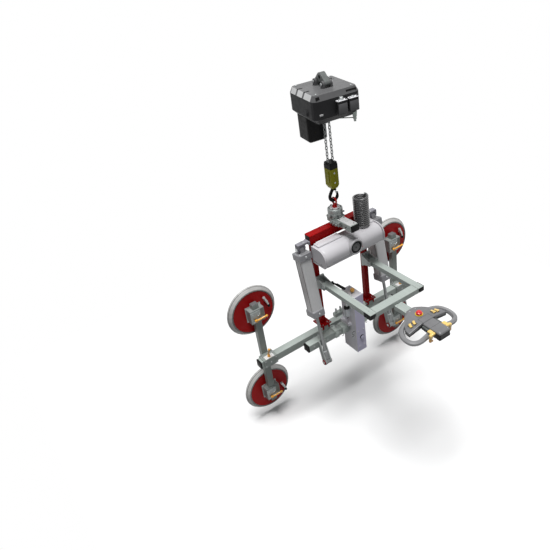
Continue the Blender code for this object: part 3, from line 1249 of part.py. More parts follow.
def button_shape(side, x, gap=0.0, deeper=0.0):
    """A button, or with a gap its well, square to the drooping top."""
    top = CONTROL_TOP_Z - CONTROL_DROOP * (x - CONTROL_FLAT)
    tall = BUTTON_PROUD + BUTTON_DEPTH + deeper
    lean = math.atan(CONTROL_DROOP)
    rise = BUTTON_PROUD - tall / 2
    centre = (side * (x + math.sin(lean) * rise), BUTTON_Y, top + math.cos(lean) * rise)
    size = (2 * (BUTTON_HALF[0] + gap), 2 * (BUTTON_HALF[1] + gap), tall)
    return block(size, centre, 0.0 if gap else 0.0015, 1, (0, side * lean, 0))


def make_grips(handle):
    for name, side in (("grip_left", -1), ("grip_right", 1)):
        path = smooth_path(mirrored(GRIP_PATH, side), GRIP_STEPS)
        trimmed = [path[0].lerp(path[1], 0.1), *path[1:-1], path[-1].lerp(path[-2], 0.1)]
        make_node(name, "silver", handle, bent_bar(trimmed, GRIP_RADIUS, 2))


def make_controls(handle):
    base = CONTROL_TOP_Z + STOP_GAP
    profile = ((0, base + STOP_HEAD), (STOP_RADIUS * 0.6, base + STOP_HEAD - 0.001),
               (STOP_RADIUS, base + STOP_HEAD * 0.55), (STOP_RADIUS, base + 0.002),
               (STOP_RADIUS * 0.85, base),
               (STOP_STEM, base), (STOP_STEM, base - STOP_GAP - STOP_DEPTH + 0.0045),
               (0, base - STOP_GAP - STOP_DEPTH + 0.0045))
    stop = pivot("emergency_stop_press", (0, STOP_Y, CONTROL_TOP_Z), handle)
    make_node("emergency_stop", "stop_red", stop, turned(profile, (0, STOP_Y, 0), steps=24))
    for side_name, side in (("left", -1), ("right", 1)):
        for place_name, x in zip(("inner", "outer"), BUTTON_X):
            name = "button_" + side_name + "_" + place_name
            shape = button_shape(side, x)
            press = pivot(name + "_press", tuple(shape.location), handle)
            make_node(name, "cream", press, shape)
        make_trigger(handle, side_name, side)


def make_trigger(handle, side_name, side):
    x = (side * TRIGGER_X[0], side * TRIGGER_X[1])
    hinge = pivot("trigger_" + side_name + "_turn", (side * sum(TRIGGER_X) / 2, TRIGGER_Y[1], TRIGGER_Z[0]),
                  handle)
    bar = span(x, TRIGGER_Y, TRIGGER_Z, 0.002, 2)
    reach = span((x[0] + side * SINK, side * TRIGGER_TAB_X),
                 (TRIGGER_Y[0] + SINK / 2, TRIGGER_Y[0] + TRIGGER_TAB),
                 (TRIGGER_Z[0] + SINK / 2, TRIGGER_Z[1] - SINK / 2), 0.001, 1)
    tab = span((side * (TRIGGER_TAB_X - 0.014), side * (TRIGGER_TAB_X - SINK / 2)),
               (TRIGGER_Y[0] + SINK, TRIGGER_Y[0] + TRIGGER_TAB - SINK),
               (TRIGGER_TAB_Z, TRIGGER_Z[1] - SINK), 0.001, 1)
    make_node("trigger_" + side_name, "cream", hinge, bar, (reach, tab))


def main():
    clear_scene()
    hoist = pivot("hoist", (0, 0, 0), turn=(0, 0, HOIST_YAW), own_frame=True)
    make_hoist(hoist)
    make_suspension_eye(hoist)
    make_chain_container(hoist)
    make_plug_connectors(hoist)

    lift = pivot("hoist_lift", (0, 0, BLOCK_TOP_Z), hoist)
    make_chain_falls(lift)
    make_hook_block(lift)
    hook = pivot("hook_swivel", (0, 0, LEVEL["block_bottom"]), lift)
    latch = pivot("latch_turn", (LATCH_PIN_X, 0, LEVEL["bowl"] + LATCH_PIN_RISE), hook)
    make_hook(hook, latch)
    make_lifting_eye(hook)

    frame = pivot("union_swivel", (0, 0, UNION_TOP_Z), hook)
    make_rotary_union(frame)
    make_head_beam(frame)
    make_red_frame(frame)
    make_vacuum_unit(frame)
    make_tilt_cylinders(frame)

    tilt = pivot("pad_tilt", (0, TILT_Y, LEVEL["tilt"]), frame)
    make_pivot_beam(tilt)
    make_cross_beam(tilt)
    knob = pivot("box_knob_turn", (0, KNOB_Y, BOX_Z[1]), tilt)
    make_valve_box(tilt, knob)
    make_pad_frame(tilt)

    lock = pivot("frame_lock_turn", (-HANDLE_X, HANDLE_PIVOT_Y, HANDLE_Z), frame)
    make_handle_brackets(frame, lock)
    handle = pivot("handle_tilt", (0, HANDLE_PIVOT_Y, HANDLE_Z), frame)
    make_handle_frame(handle)
    make_control_housing(handle)
    make_grips(handle)
    make_controls(handle)


main()
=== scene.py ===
"""Looks of the vacuum glass lifter: finishes, small fittings, stage and camera.

Everything is in metres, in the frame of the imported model.
"""

import math

import bmesh
import bpy
from bpy.props import FloatProperty, FloatVectorProperty, IntProperty, PointerProperty
from mathutils import Matrix, Vector


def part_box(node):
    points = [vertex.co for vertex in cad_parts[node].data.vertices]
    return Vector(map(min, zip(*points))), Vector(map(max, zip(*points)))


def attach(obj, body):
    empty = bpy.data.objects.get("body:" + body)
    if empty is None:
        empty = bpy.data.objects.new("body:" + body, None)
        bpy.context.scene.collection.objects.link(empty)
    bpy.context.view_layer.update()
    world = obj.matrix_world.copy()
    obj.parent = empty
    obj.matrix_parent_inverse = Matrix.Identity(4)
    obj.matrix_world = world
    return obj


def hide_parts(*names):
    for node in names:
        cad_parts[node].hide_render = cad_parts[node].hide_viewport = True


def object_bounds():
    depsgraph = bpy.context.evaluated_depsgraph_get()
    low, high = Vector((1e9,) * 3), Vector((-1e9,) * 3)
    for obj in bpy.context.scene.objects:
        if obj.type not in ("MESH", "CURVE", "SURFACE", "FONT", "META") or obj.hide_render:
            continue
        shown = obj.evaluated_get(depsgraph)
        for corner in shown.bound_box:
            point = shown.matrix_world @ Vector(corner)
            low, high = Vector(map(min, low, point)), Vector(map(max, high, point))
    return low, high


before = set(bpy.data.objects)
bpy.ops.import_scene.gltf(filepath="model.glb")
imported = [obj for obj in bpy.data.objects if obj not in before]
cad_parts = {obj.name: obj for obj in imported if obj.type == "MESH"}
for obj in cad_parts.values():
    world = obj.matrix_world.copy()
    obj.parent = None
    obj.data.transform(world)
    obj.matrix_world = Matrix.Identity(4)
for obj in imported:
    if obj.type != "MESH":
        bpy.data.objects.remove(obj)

bl_info = {
    "name": "Vacuum glass lifter looks",
    "version": (1, 0, 0),
    "blender": (4, 5, 0),
    "location": "3D View > Sidebar > Lifter",
    "description": "Finishes, fittings, stage and camera for the vacuum glass lifter",
    "category": "Object",
}


# Places and turns that several pieces share

CAD_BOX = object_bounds()
MIRROR = (-1, 1)
SIDES = (("left", -1), ("right", 1))
UP = (0, 0, 1)
DOWN = (0, 0, -1)
FRONT = (0, -1, 0)
HOIST_TURN = Matrix.Rotation(math.radians(-9.3), 4, "Z")
HOIST_TOP = -0.042
HOIST_SHOULDER = -0.068
HOIST_X = 0.124
HOIST_Y = 0.136
LID_SLOPE = math.atan2(0.026, 0.013)
UNIT_BACK = -0.0356
UNIT_FRONT = -0.155
UNIT_TALL = 0.101
STEPS_IN_TURN = 28
CYLINDER_X = 0.250
CYLINDER_Z = -0.838
CYLINDER_TURN = Matrix.Rotation(math.atan2(-0.122, 0.725), 4, "X")
BARREL_ENDS = (0.064, 0.375)
UPRIGHT_X = 0.1725
TILT_Y = -0.025
TILT_Z = -1.404
CRANK_Y = -0.122
CRANK_Z = -1.563
CRANK_BACK_Y = -0.0828
PIVOT_BEAM_Y = (-0.082, -0.036)
PIVOT_BEAM_Z = (-1.474, -1.428)
CROSS_BEAM_Y = (0.068, 0.116)
CROSS_BEAM_Z = (-1.550, -1.502)
BOX_FRONT = -0.140
BOX_PORT = (0.004, -0.1440, -1.514)
ARM_X = 0.521
JOINT_X = 0.164
JOINT_Y = -0.085
JOINT_Z = -1.083
HANDLE_TOP = -1.068
HOUSING_TOP = -1.0715
POD_TOP = HOUSING_TOP - 0.004
HOUSING_SLOPE = 0.22
SLOPE_START = 0.045
STOP_Y = -0.614
BUTTONS = (
    ("left", -1, "inner", 0.064), ("left", -1, "outer", 0.088),
    ("right", 1, "inner", 0.064), ("right", 1, "outer", 0.088),
)
TRIGGER_BLOCKS = (
    ("trigger_head_", "cream_plastic", (
        ((0.0370, 0.0585), (-0.7470, -0.7225), (-1.0898, -1.0792), 0.0042, 4),
        ((0.0372, 0.0640), (-0.7610, -0.7445), (-1.0950, -1.0790), 0.0055, 4),
        ((0.0540, 0.0725), (-0.7620, -0.7448), (-1.1060, -1.0815), 0.0060, 4),
    )),
    ("trigger_tab_", "orange_plastic", (
        ((0.0585, 0.0718), (-0.7590, -0.7465), (-1.1275, -1.1030), 0.0036, 3),
        ((0.0500, 0.0700), (-0.7585, -0.7480), (-1.1275, -1.1190), 0.0034, 3),
    )),
)

# Limits of the finishes and of the mesh work

SPLIT_HALF = 0.00005
SHARP_EDGE = 0.6
WELD = 0.00002
SMOOTH_BELOW = math.radians(32)

# Floor, light and camera

FLOOR_HALF = 1.9
FLOOR_DROP = 0.055
FLOOR_BOUNCE = 0.12
GLOW = 0.15
SUN_STRENGTH = 3.5
SUN_WIDTH = 0.55
SUN_FROM = (-0.08, -0.08, 0.99)
CAMERA_PLACE = (-1.6, -2.2192, 0.7265)
CAMERA_AXES = (
    (0.82616, 0.40652, -0.39013),
    (-0.54424, 0.39654, -0.73930),
    (-0.14583, 0.82310, 0.54885),
)


def low(node):
    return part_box(node)[0]


def high(node):
    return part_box(node)[1]


def middle(node):
    return (low(node) + high(node)) / 2


def around(centre, half):
    """The two ends of a span about its middle."""
    return centre - half, centre + half


def corners(x, y):
    """The four points that lie x and y from the middle."""
    return [(across * x, along * y) for across in MIRROR for along in MIRROR]


def slope_height(x):
    """The height of the control housing's sloped top at a distance from its middle."""
    return HOUSING_TOP - HOUSING_SLOPE * (x - SLOPE_START)


# Sizes and colours that a user may change

def colour(name, description, value):
    return FloatVectorProperty(
        name=name, description=description, subtype="COLOR", size=3, min=0.0, max=1.0, default=value
    )


def length(name, description, value):
    return FloatProperty(
        name=name, description=description, default=value, min=0.0, subtype="DISTANCE", unit="LENGTH"
    )


class LifterColours(bpy.types.PropertyGroup):
    """Base colours of the finishes."""

    lid: colour("Hoist lid", "Mid grey paint of the hoist's lid", (0.140, 0.140, 0.143))
    hoist: colour("Hoist sides", "Charcoal paint of the hoist's body", (0.040, 0.040, 0.042))
    black: colour("Black plastic", "Chain container, end caps and knobs", (0.006, 0.006, 0.006))
    olive: colour("Hook block", "Olive yellow paint of the hook block", (0.430, 0.420, 0.018))
    red: colour("Frame red", "Red paint of the carrying frame", (0.360, 0.0012, 0.0018))
    pad_red: colour("Pad red", "Darker red paint of the pad plates", (0.520, 0.003, 0.005))
    beam: colour("Beams", "Bare aluminium of the beams", (0.430, 0.480, 0.450))
    metal: colour("Machined metal", "Valve blocks, brackets and clamps", (0.330, 0.355, 0.345))
    steel: colour("Plated steel", "Screws, rods and chain", (0.520, 0.540, 0.540))
    cylinder: colour("Cylinder barrel", "Grey anodised barrel", (0.600, 0.600, 0.605))
    cylinder_cap: colour("Cylinder caps", "Darker cast caps of the cylinders", (0.270, 0.270, 0.285))
    cover: colour("Vacuum unit", "Silver white paint of the cover", (0.700, 0.685, 0.710))
    cover_end: colour("Gauge case", "Grey of the gauge and pump", (0.160, 0.160, 0.165))
    hanger: colour("Hangers", "Lavender grey of the cylinder hangers", (0.300, 0.295, 0.330))
    box_front: colour("Valve box front", "Lavender face of the valve box", (0.800, 0.770, 0.980))
    box_side: colour("Valve box sides", "Near white sides of the valve box", (0.940, 0.930, 0.980))
    orange: colour("Levers", "Orange yellow of levers and knobs", (0.900, 0.420, 0.040))
    cream: colour("Buttons", "Cream yellow of buttons and triggers", (0.920, 0.640, 0.190))
    stop: colour("Stop button", "Red of the stop button", (0.700, 0.012, 0.016))
    rubber: colour("Pad lips", "Silver grey rubber of the suction lips", (0.520, 0.515, 0.502))
    handle: colour("Control housing", "Metallic grey of the control handle", (0.200, 0.200, 0.206))
    grip: colour("Grips", "Silver grey of the two grips", (0.260, 0.260, 0.266))
    floor: colour("Floor", "Plain pale floor", (0.900, 0.900, 0.900))


class LifterSizes(bpy.types.PropertyGroup):
    """Sizes of the fittings that this file adds."""

    hose_bore: length("Hose diameter", "Outside diameter of the spiral hose", 0.0102)
    hose_turns: IntProperty(
        name="Hose turns", description="Turns of the spiral hose", default=15, min=4, max=18
    )
    screw_head: length("Screw head", "Radius of a plain cap screw's head", 0.0050)
    end_cap: length("End cap", "How far a beam's plastic cap stands out", 0.0100)
    lever_bar: length("Lever bar", "Radius of the orange lever bars", 0.0054)
    label_rise: length("Strip rise", "Thickness of bare strips and covers", 0.0012)


def colours():
    return bpy.context.scene.lifter_colours


def sizes():
    return bpy.context.scene.lifter_sizes


# Finishes

FINISHES = {}


class Finish:
    """A node material under construction, on Object coordinates."""

    def __init__(self, name, roughness, metallic=0.0):
        self.material = bpy.data.materials.new(name)
        self.material.use_nodes = True
        self.tree = self.material.node_tree
        self.shader = self.tree.nodes["Principled BSDF"]
        self.set("Roughness", roughness)
        self.set("Metallic", metallic)
        self.place = self.add("ShaderNodeTexCoord").outputs["Object"]

    def add(self, kind, **settings):
        node = self.tree.nodes.new(kind)
        for key, value in settings.items():
            setattr(node, key, value)
        return node

    def link(self, source, target):
        self.tree.links.new(source, target)

    def stretched(self, scale):
        mapping = self.add("ShaderNodeMapping")
        mapping.inputs["Scale"].default_value = scale
        self.link(self.place, mapping.inputs["Vector"])
        return mapping.outputs["Vector"]

    def noise(self, scale, detail=3.0, vector=None):
        node = self.add("ShaderNodeTexNoise")
        node.inputs["Scale"].default_value = scale
        node.inputs["Detail"].default_value = detail
        self.link(vector or self.place, node.inputs["Vector"])
        return node.outputs["Fac"]

    def ramp(self, value, start, end, first, last):
        node = self.add("ShaderNodeMapRange")
        for socket, number in zip(("From Min", "From Max", "To Min", "To Max"), (start, end, first, last)):
            node.inputs[socket].default_value = number
        self.link(value, node.inputs["Value"])
        return node.outputs["Result"]

    def mixed(self, value, first, last):
        node = self.add("ShaderNodeMix", data_type="RGBA")
        for socket, part in ((6, first), (7, last)):
            if isinstance(part, bpy.types.NodeSocket):
                self.link(part, node.inputs[socket])
            else:
                node.inputs[socket].default_value = (*part, 1.0)
        self.link(value, node.inputs[0])
        return node.outputs[2]

    def along(self, direction):
        """Distance of a point along a direction."""
        node = self.add("ShaderNodeVectorMath", operation="DOT_PRODUCT")
        node.inputs[1].default_value = direction
        self.link(self.place, node.inputs[0])
        return node.outputs["Value"]

    def tint(self, mixed):
        self.link(mixed, self.shader.inputs["Base Color"])

    def clouds(self, rgb, scale, detail, dark, pale, last=0.65):
        """Faint clouds of a darker and a paler tone of one colour."""
        share = self.ramp(self.noise(scale, detail), 0.35, last, 0.0, 1.0)
        return self.mixed(share, shaded(rgb, dark), shaded(rgb, pale))

    def maths(self, operation, *values):
        node = self.add("ShaderNodeMath", operation=operation)
        for socket, value in zip(node.inputs, values):
            if isinstance(value, bpy.types.NodeSocket):
                self.link(value, socket)
            else:
                socket.default_value = value
        return node.outputs[0]

    def set(self, socket, value):
        self.shader.inputs[socket].default_value = value

    def gloss(self, value, first, last):
        self.link(self.ramp(value, 0.3, 0.7, first, last), self.shader.inputs["Roughness"])

    def relief(self, value, strength, distance):
        node = self.add("ShaderNodeBump")
        node.inputs["Strength"].default_value = strength
        node.inputs["Distance"].default_value = distance
        self.link(value, node.inputs["Height"])
        self.link(node.outputs["Normal"], self.shader.inputs["Normal"])

    def done(self):
        FINISHES[self.material.name] = self.material


def shaded(rgb, factor):
    return tuple(min(1.0, channel * factor) for channel in rgb)


def spray_paint(name, rgb, roughness=0.36, metallic=0.0, coat=0.10, tone=0.09):
    """Sprayed paint: faint clouds of tone, orange peel and a little clear coat."""
    made = Finish(name, roughness, metallic)
    made.tint(made.clouds(rgb, 9.0, 4.0, 1 - tone, 1 + tone))
    made.gloss(made.noise(40.0), roughness - 0.05, roughness + 0.09)
    made.relief(made.noise(260.0, 2.0), 0.08, 0.0003)
    made.set("Specular IOR Level", 0.08)
    made.set("Coat Weight", coat)
    made.set("Coat Roughness", 0.18)
    made.done()


def brushed_metal(name, rgb, grain, roughness=0.40, metallic=0.04):
    """Drawn or brushed metal, its lines along the axis with the small scale."""
    made = Finish(name, roughness, metallic)
    lines = made.noise(1.0, 5.0, made.stretched(grain))
    toned = made.mixed(made.ramp(lines, 0.3, 0.7, 0.0, 1.0), shaded(rgb, 0.88), shaded(rgb, 1.07))
    smears = made.ramp(made.noise(7.0, 3.0), 0.45, 0.75, 0.0, 0.5)
    made.tint(made.mixed(smears, toned, shaded(rgb, 0.80)))
    made.gloss(lines, roughness - 0.06, roughness + 0.10)
    made.relief(lines, 0.06, 0.0002)
    made.set("Specular IOR Level", 0.3)
    made.done()


def moulded_plastic(name, rgb, roughness):
    """Moulded plastic with a fine spark texture."""
    made = Finish(name, roughness)
    made.tint(made.clouds(rgb, 14.0, 2.0, 0.86, 1.14))
    made.gloss(made.noise(60.0), roughness - 0.08, roughness + 0.08)
    made.relief(made.noise(420.0, 2.0), 0.22, 0.0003)
    made.set("Specular IOR Level", 0.10)
    made.done()


def glossy_plastic(name, rgb, roughness=0.26, coat=0.4):
    """Smooth plastic under a clear coat."""
    made = Finish(name, roughness)
    made.tint(made.clouds(rgb, 30.0, 2.0, 0.92, 1.06))
    made.gloss(made.noise(90.0), roughness - 0.05, roughness + 0.08)
    made.relief(made.noise(180.0, 1.0), 0.05, 0.0003)
    made.set("Coat Weight", coat)
    made.done()


def ribbed_rubber(name, rgb, first, last):
    """The lip's rubber with painted shade in two folds that run round it, at set depths along Y."""
    made = Finish(name, 0.42)
    skin = made.clouds(rgb, 9.0, 5.0, 0.88, 1.12, 0.7)
    place = made.along((0, 1, 0))
    fold_shades = []
    for share in (0.05, 0.52):
        spot = first + (last - first) * share
        away = made.maths("ABSOLUTE", made.maths("SUBTRACT", place, spot))
        fold_shades.append(made.ramp(away, 0.0010, 0.0018, 1.0, 0.0))
    # The dark bands are painted shade in the two folds.
    made.tint(made.mixed(made.maths("MAXIMUM", *fold_shades), skin, shaded(rgb, 0.16)))
    made.gloss(made.noise(60.0), 0.36, 0.52)
    made.relief(made.noise(240.0, 2.0), 0.10, 0.0003)
    made.done()


def beam_with_cranks(name):
    """The pivot beam's bare aluminium, with the crank plates in front of it in dark steel."""
    paint = colours()
    made = Finish(name, 0.40, 0.04)
    lines = made.noise(1.0, 5.0, made.stretched((3.0, 230.0, 230.0)))
    share = made.ramp(lines, 0.3, 0.7, 0.0, 1.0)
    beam = made.mixed(share, shaded(paint.beam, 0.90), shaded(paint.beam, 1.06))
    plates = made.mixed(made.noise(70.0), shaded(paint.metal, 0.95), shaded(paint.metal, 1.35))
    front = made.ramp(made.along((0, 1, 0)), CRANK_BACK_Y - 0.0002, CRANK_BACK_Y, 1.0, 0.0)
    made.tint(made.mixed(front, beam, plates))
    made.gloss(lines, 0.34, 0.50)
    made.relief(lines, 0.06, 0.0002)
    made.set("Specular IOR Level", 0.3)
    made.done()


def two_part_paint(name, first, last, edge, roughness):
    """One node that carries two finishes, split at a depth along Y."""
    made = Finish(name, roughness)
    side = made.ramp(made.along((0, 1, 0)), edge - SPLIT_HALF, edge + SPLIT_HALF, 0.0, 1.0)
    dust = made.ramp(made.noise(10.0, 4.0), 0.35, 0.7, 0.0, 0.08)
    made.tint(made.mixed(dust, made.mixed(side, first, last), (0.02, 0.02, 0.02)))
    made.gloss(made.noise(50.0), roughness - 0.06, roughness + 0.08)
    made.relief(made.noise(280.0, 2.0), 0.08, 0.0004)
    made.set("Specular IOR Level", 0.15)
    made.done()


def banded_cylinder(name):
    """Grey barrel with darker caps, split along the cylinder's own axis."""
    paint = colours()
    made = Finish(name, 0.38, 0.10)
    axis = CYLINDER_TURN @ Vector(DOWN)
    place = made.along(axis)
    first, last = (axis.dot(Vector((0, 0, CYLINDER_Z))) + end for end in BARREL_ENDS)
    above = made.ramp(place, first - SPLIT_HALF, first + SPLIT_HALF, 0.0, 1.0)
    below = made.ramp(place, last - SPLIT_HALF, last + SPLIT_HALF, 1.0, 0.0)
    lines = made.noise(1.0, 5.0, made.stretched((260.0, 260.0, 5.0)))
    caps = made.mixed(made.noise(120.0), shaded(paint.cylinder_cap, 0.8), shaded(paint.cylinder_cap, 1.2))
    tube = made.mixed(lines, shaded(paint.cylinder, 0.9), shaded(paint.cylinder, 1.1))
    made.tint(made.mixed(made.maths("MULTIPLY", above, below), caps, tube))
    made.gloss(lines, 0.32, 0.48)
    made.relief(lines, 0.06, 0.0003)
    made.done()


def housing_paint(name):
    """Metallic grey top of the control housing, black below its sloped edge."""
    paint = colours()
    made = Finish(name, 0.34, 0.25)
    split = made.add("ShaderNodeSeparateXYZ")
    made.link(made.place, split.inputs[0])
    away = made.maths("ABSOLUTE", split.outputs["X"])
    drop = made.ramp(away, SLOPE_START, SLOPE_START + 0.100, 0.0, 0.100 * HOUSING_SLOPE)
    level = made.maths("ADD", split.outputs["Z"], drop)
    low_part = made.ramp(level, -1.0860, -1.0850, 1.0, 0.0)
    made.tint(made.mixed(low_part, made.clouds(paint.handle, 10.0, 4.0, 0.90, 1.10), paint.black))
    made.gloss(made.noise(50.0), 0.30, 0.44)
    made.relief(made.noise(260.0, 2.0), 0.08, 0.0003)
    made.set("Specular IOR Level", 0.2)
    made.done()


def clear_bowl(name):
    """The see-through bowl of the filter."""
    made = Finish(name, 0.08)
    made.tint(made.mixed(made.noise(25.0), (0.78, 0.82, 0.84), (0.90, 0.93, 0.95)))
    made.gloss(made.noise(60.0), 0.06, 0.14)
    made.set("Transmission Weight", 0.55)
    made.set("IOR", 1.45)
    made.done()


def make_finishes():
    paint = colours()
    spray_paint("lid_paint", paint.lid, 0.38)
    # Pale grey for plates and tabs, also used as painted highlight on the hoist lid's left slope.
    spray_paint("pale_plate_and_highlight_paint", (0.72, 0.72, 0.72), 0.42)
    spray_paint("hoist_paint", paint.hoist, 0.46, coat=0.0)
    moulded_plastic("black_plastic", paint.black, 0.48)
    spray_paint("olive_paint", paint.olive, 0.40)
    spray_paint("frame_red", paint.red, 0.45, coat=0.0)
    spray_paint("eye_red", (0.70, 0.02, 0.02), 0.30)
    spray_paint("roller_red", (0.22, 0.008, 0.010), 0.34)
    brushed_metal("beam_x", paint.beam, (3.0, 230.0, 230.0))
    brushed_metal("beam_y", paint.beam, (230.0, 3.0, 230.0))
    # The pad arms' aluminium is a darker copy of the beam colour: painted shade of their vertical faces.
    brushed_metal("beam_z_shaded", shaded(paint.beam, 0.72), (230.0, 230.0, 3.0))
    beam_with_cranks("beam_cranks")
    brushed_metal("machined_metal", paint.metal, (60.0, 200.0, 60.0), 0.38, 0.35)
    brushed_metal("pale_metal", shaded(paint.beam, 1.15), (80.0, 80.0, 160.0), 0.36, 0.20)
    brushed_metal("bright_steel", paint.steel, (40.0, 40.0, 160.0), 0.28, 0.55)
    brushed_metal("chain_steel", shaded(paint.steel, 0.42), (60.0, 60.0, 160.0), 0.30, 0.55)
    brushed_metal("rod_steel", shaded(paint.steel, 0.48), (60.0, 60.0, 6.0), 0.32, 0.45)
    brushed_metal("dark_steel", shaded(paint.metal, 0.40), (90.0, 90.0, 90.0), 0.38, 0.45)
    banded_cylinder("cylinder_finish")
    spray_paint("cover_paint", paint.cover, 0.30, coat=0.25, tone=0.025)
    spray_paint("cover_end_paint", paint.cover_end, 0.38)
    spray_paint("hanger_paint", paint.hanger, 0.40)
    two_part_paint("box_paint", paint.box_front, paint.box_side, BOX_FRONT + 0.0005, 0.42)
    glossy_plastic("orange_plastic", paint.orange)
    glossy_plastic("cream_plastic", paint.cream)
    glossy_plastic("stop_red", paint.stop, 0.22)
    glossy_plastic("stop_yellow", (0.90, 0.62, 0.03), 0.30)
    glossy_plastic("lamp_red", (0.75, 0.05, 0.09), 0.20)
    ribbed_rubber("lip_rubber", paint.rubber, low("pad_seal_upper_left").y, high("pad_seal_upper_left").y)
    glossy_plastic("hose_rubber", (0.030, 0.030, 0.032), 0.22, 1.0)
    spray_paint("handle_paint", paint.handle, 0.36, metallic=0.25)
    # A lighter copy of the handle's grey, for painted highlights on its edges.
    spray_paint("handle_highlight_paint", shaded(paint.handle, 1.7), 0.36, metallic=0.25)
    spray_paint("grip_paint", paint.grip, 0.32, metallic=0.25)
    # A darker copy of the cover's paint on the gauge's rim: painted shade that makes the rim show.
    spray_paint("gauge_ring_shade", shaded(paint.cover, 0.72), 0.30, coat=0.25, tone=0.03)
    spray_paint("dial_grey", (0.230, 0.230, 0.235), 0.45)
    # White for plug tops and screws, also used as a painted highlight on the union's flange.
    spray_paint("white_and_highlight_paint", (0.86, 0.86, 0.88), 0.45)
    # Near black for seams, vents and grooves, also used as painted shade in the gauge's recess.
    moulded_plastic("seam_black_and_recess_shade", (0.016, 0.016, 0.017), 0.6)
    housing_paint("housing_paint")
    clear_bowl("clear_bowl")


CAD_FINISHES = {
    "lid_paint": ("hoist_cover",),
    "hoist_paint": ("hoist_housing", "plug_connectors"),
    "black_plastic": ("chain_container", "hook_block_cap", "load_hook", "frame_lock_lever"),
    "olive_paint": ("hook_block",),
    "dark_steel": ("suspension_eye",),
    "bright_steel": ("hook_latch",),
    "chain_steel": ("chain_fall_left", "chain_fall_right"),
    "rod_steel": ("piston_rod_left", "piston_rod_right"),
    "eye_red": ("lifting_eye",),
    "frame_red": ("frame_crossbar", "upright_left", "upright_right"),
    "machined_metal": ("rotary_union", "valve_block", "handle_bracket_left", "handle_bracket_right"),
    "pale_metal": ("manifold",),
    "beam_x": ("cross_beam",),
    "beam_cranks": ("pivot_beam",),
    "beam_y": ("head_beam", "handle_frame"),
    "beam_z_shaded": ("pad_arm_left", "pad_arm_right"),
    "cylinder_finish": ("cylinder_left", "cylinder_right"),
    "cover_paint": ("vacuum_unit_cover", "vacuum_pump_body"),
    "cover_end_paint": ("vacuum_gauge",),
    "hanger_paint": ("cylinder_hanger_left", "cylinder_hanger_right"),
    "box_paint": ("valve_box",),
    "orange_plastic": ("box_knob", "clamp_lever_left", "clamp_lever_right"),
    "clear_bowl": ("vacuum_filter",),
    "hose_rubber": ("spiral_hose",),
    "housing_paint": ("control_housing",),
    "grip_paint": ("grip_left", "grip_right"),
    "stop_red": ("emergency_stop",),
    "cream_plastic": ("trigger_left", "trigger_right", "button_left_inner", "button_left_outer",
                      "button_right_inner", "button_right_outer"),
    "lip_rubber": ("pad_seal_lower_left", "pad_seal_lower_right",
                   "pad_seal_upper_left", "pad_seal_upper_right"),
}


def dress_cad_nodes():
    for finish, names in CAD_FINISHES.items():
        for name in names:
            assign(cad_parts[name], finish)
    paint = colours()
    for level in ("lower", "upper"):
        for side, _ in SIDES:
            node = "pad_holder_" + level + "_" + side
            finish = "finish_" + node
            two_part_paint(finish, shaded(paint.metal, 0.80), paint.pad_red, high(node).y - 0.0104, 0.40)
            assign(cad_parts[node], finish)


def assign(obj, finish):
    obj.data.materials.clear()
    obj.data.materials.append(FINISHES[finish])


# Shapes

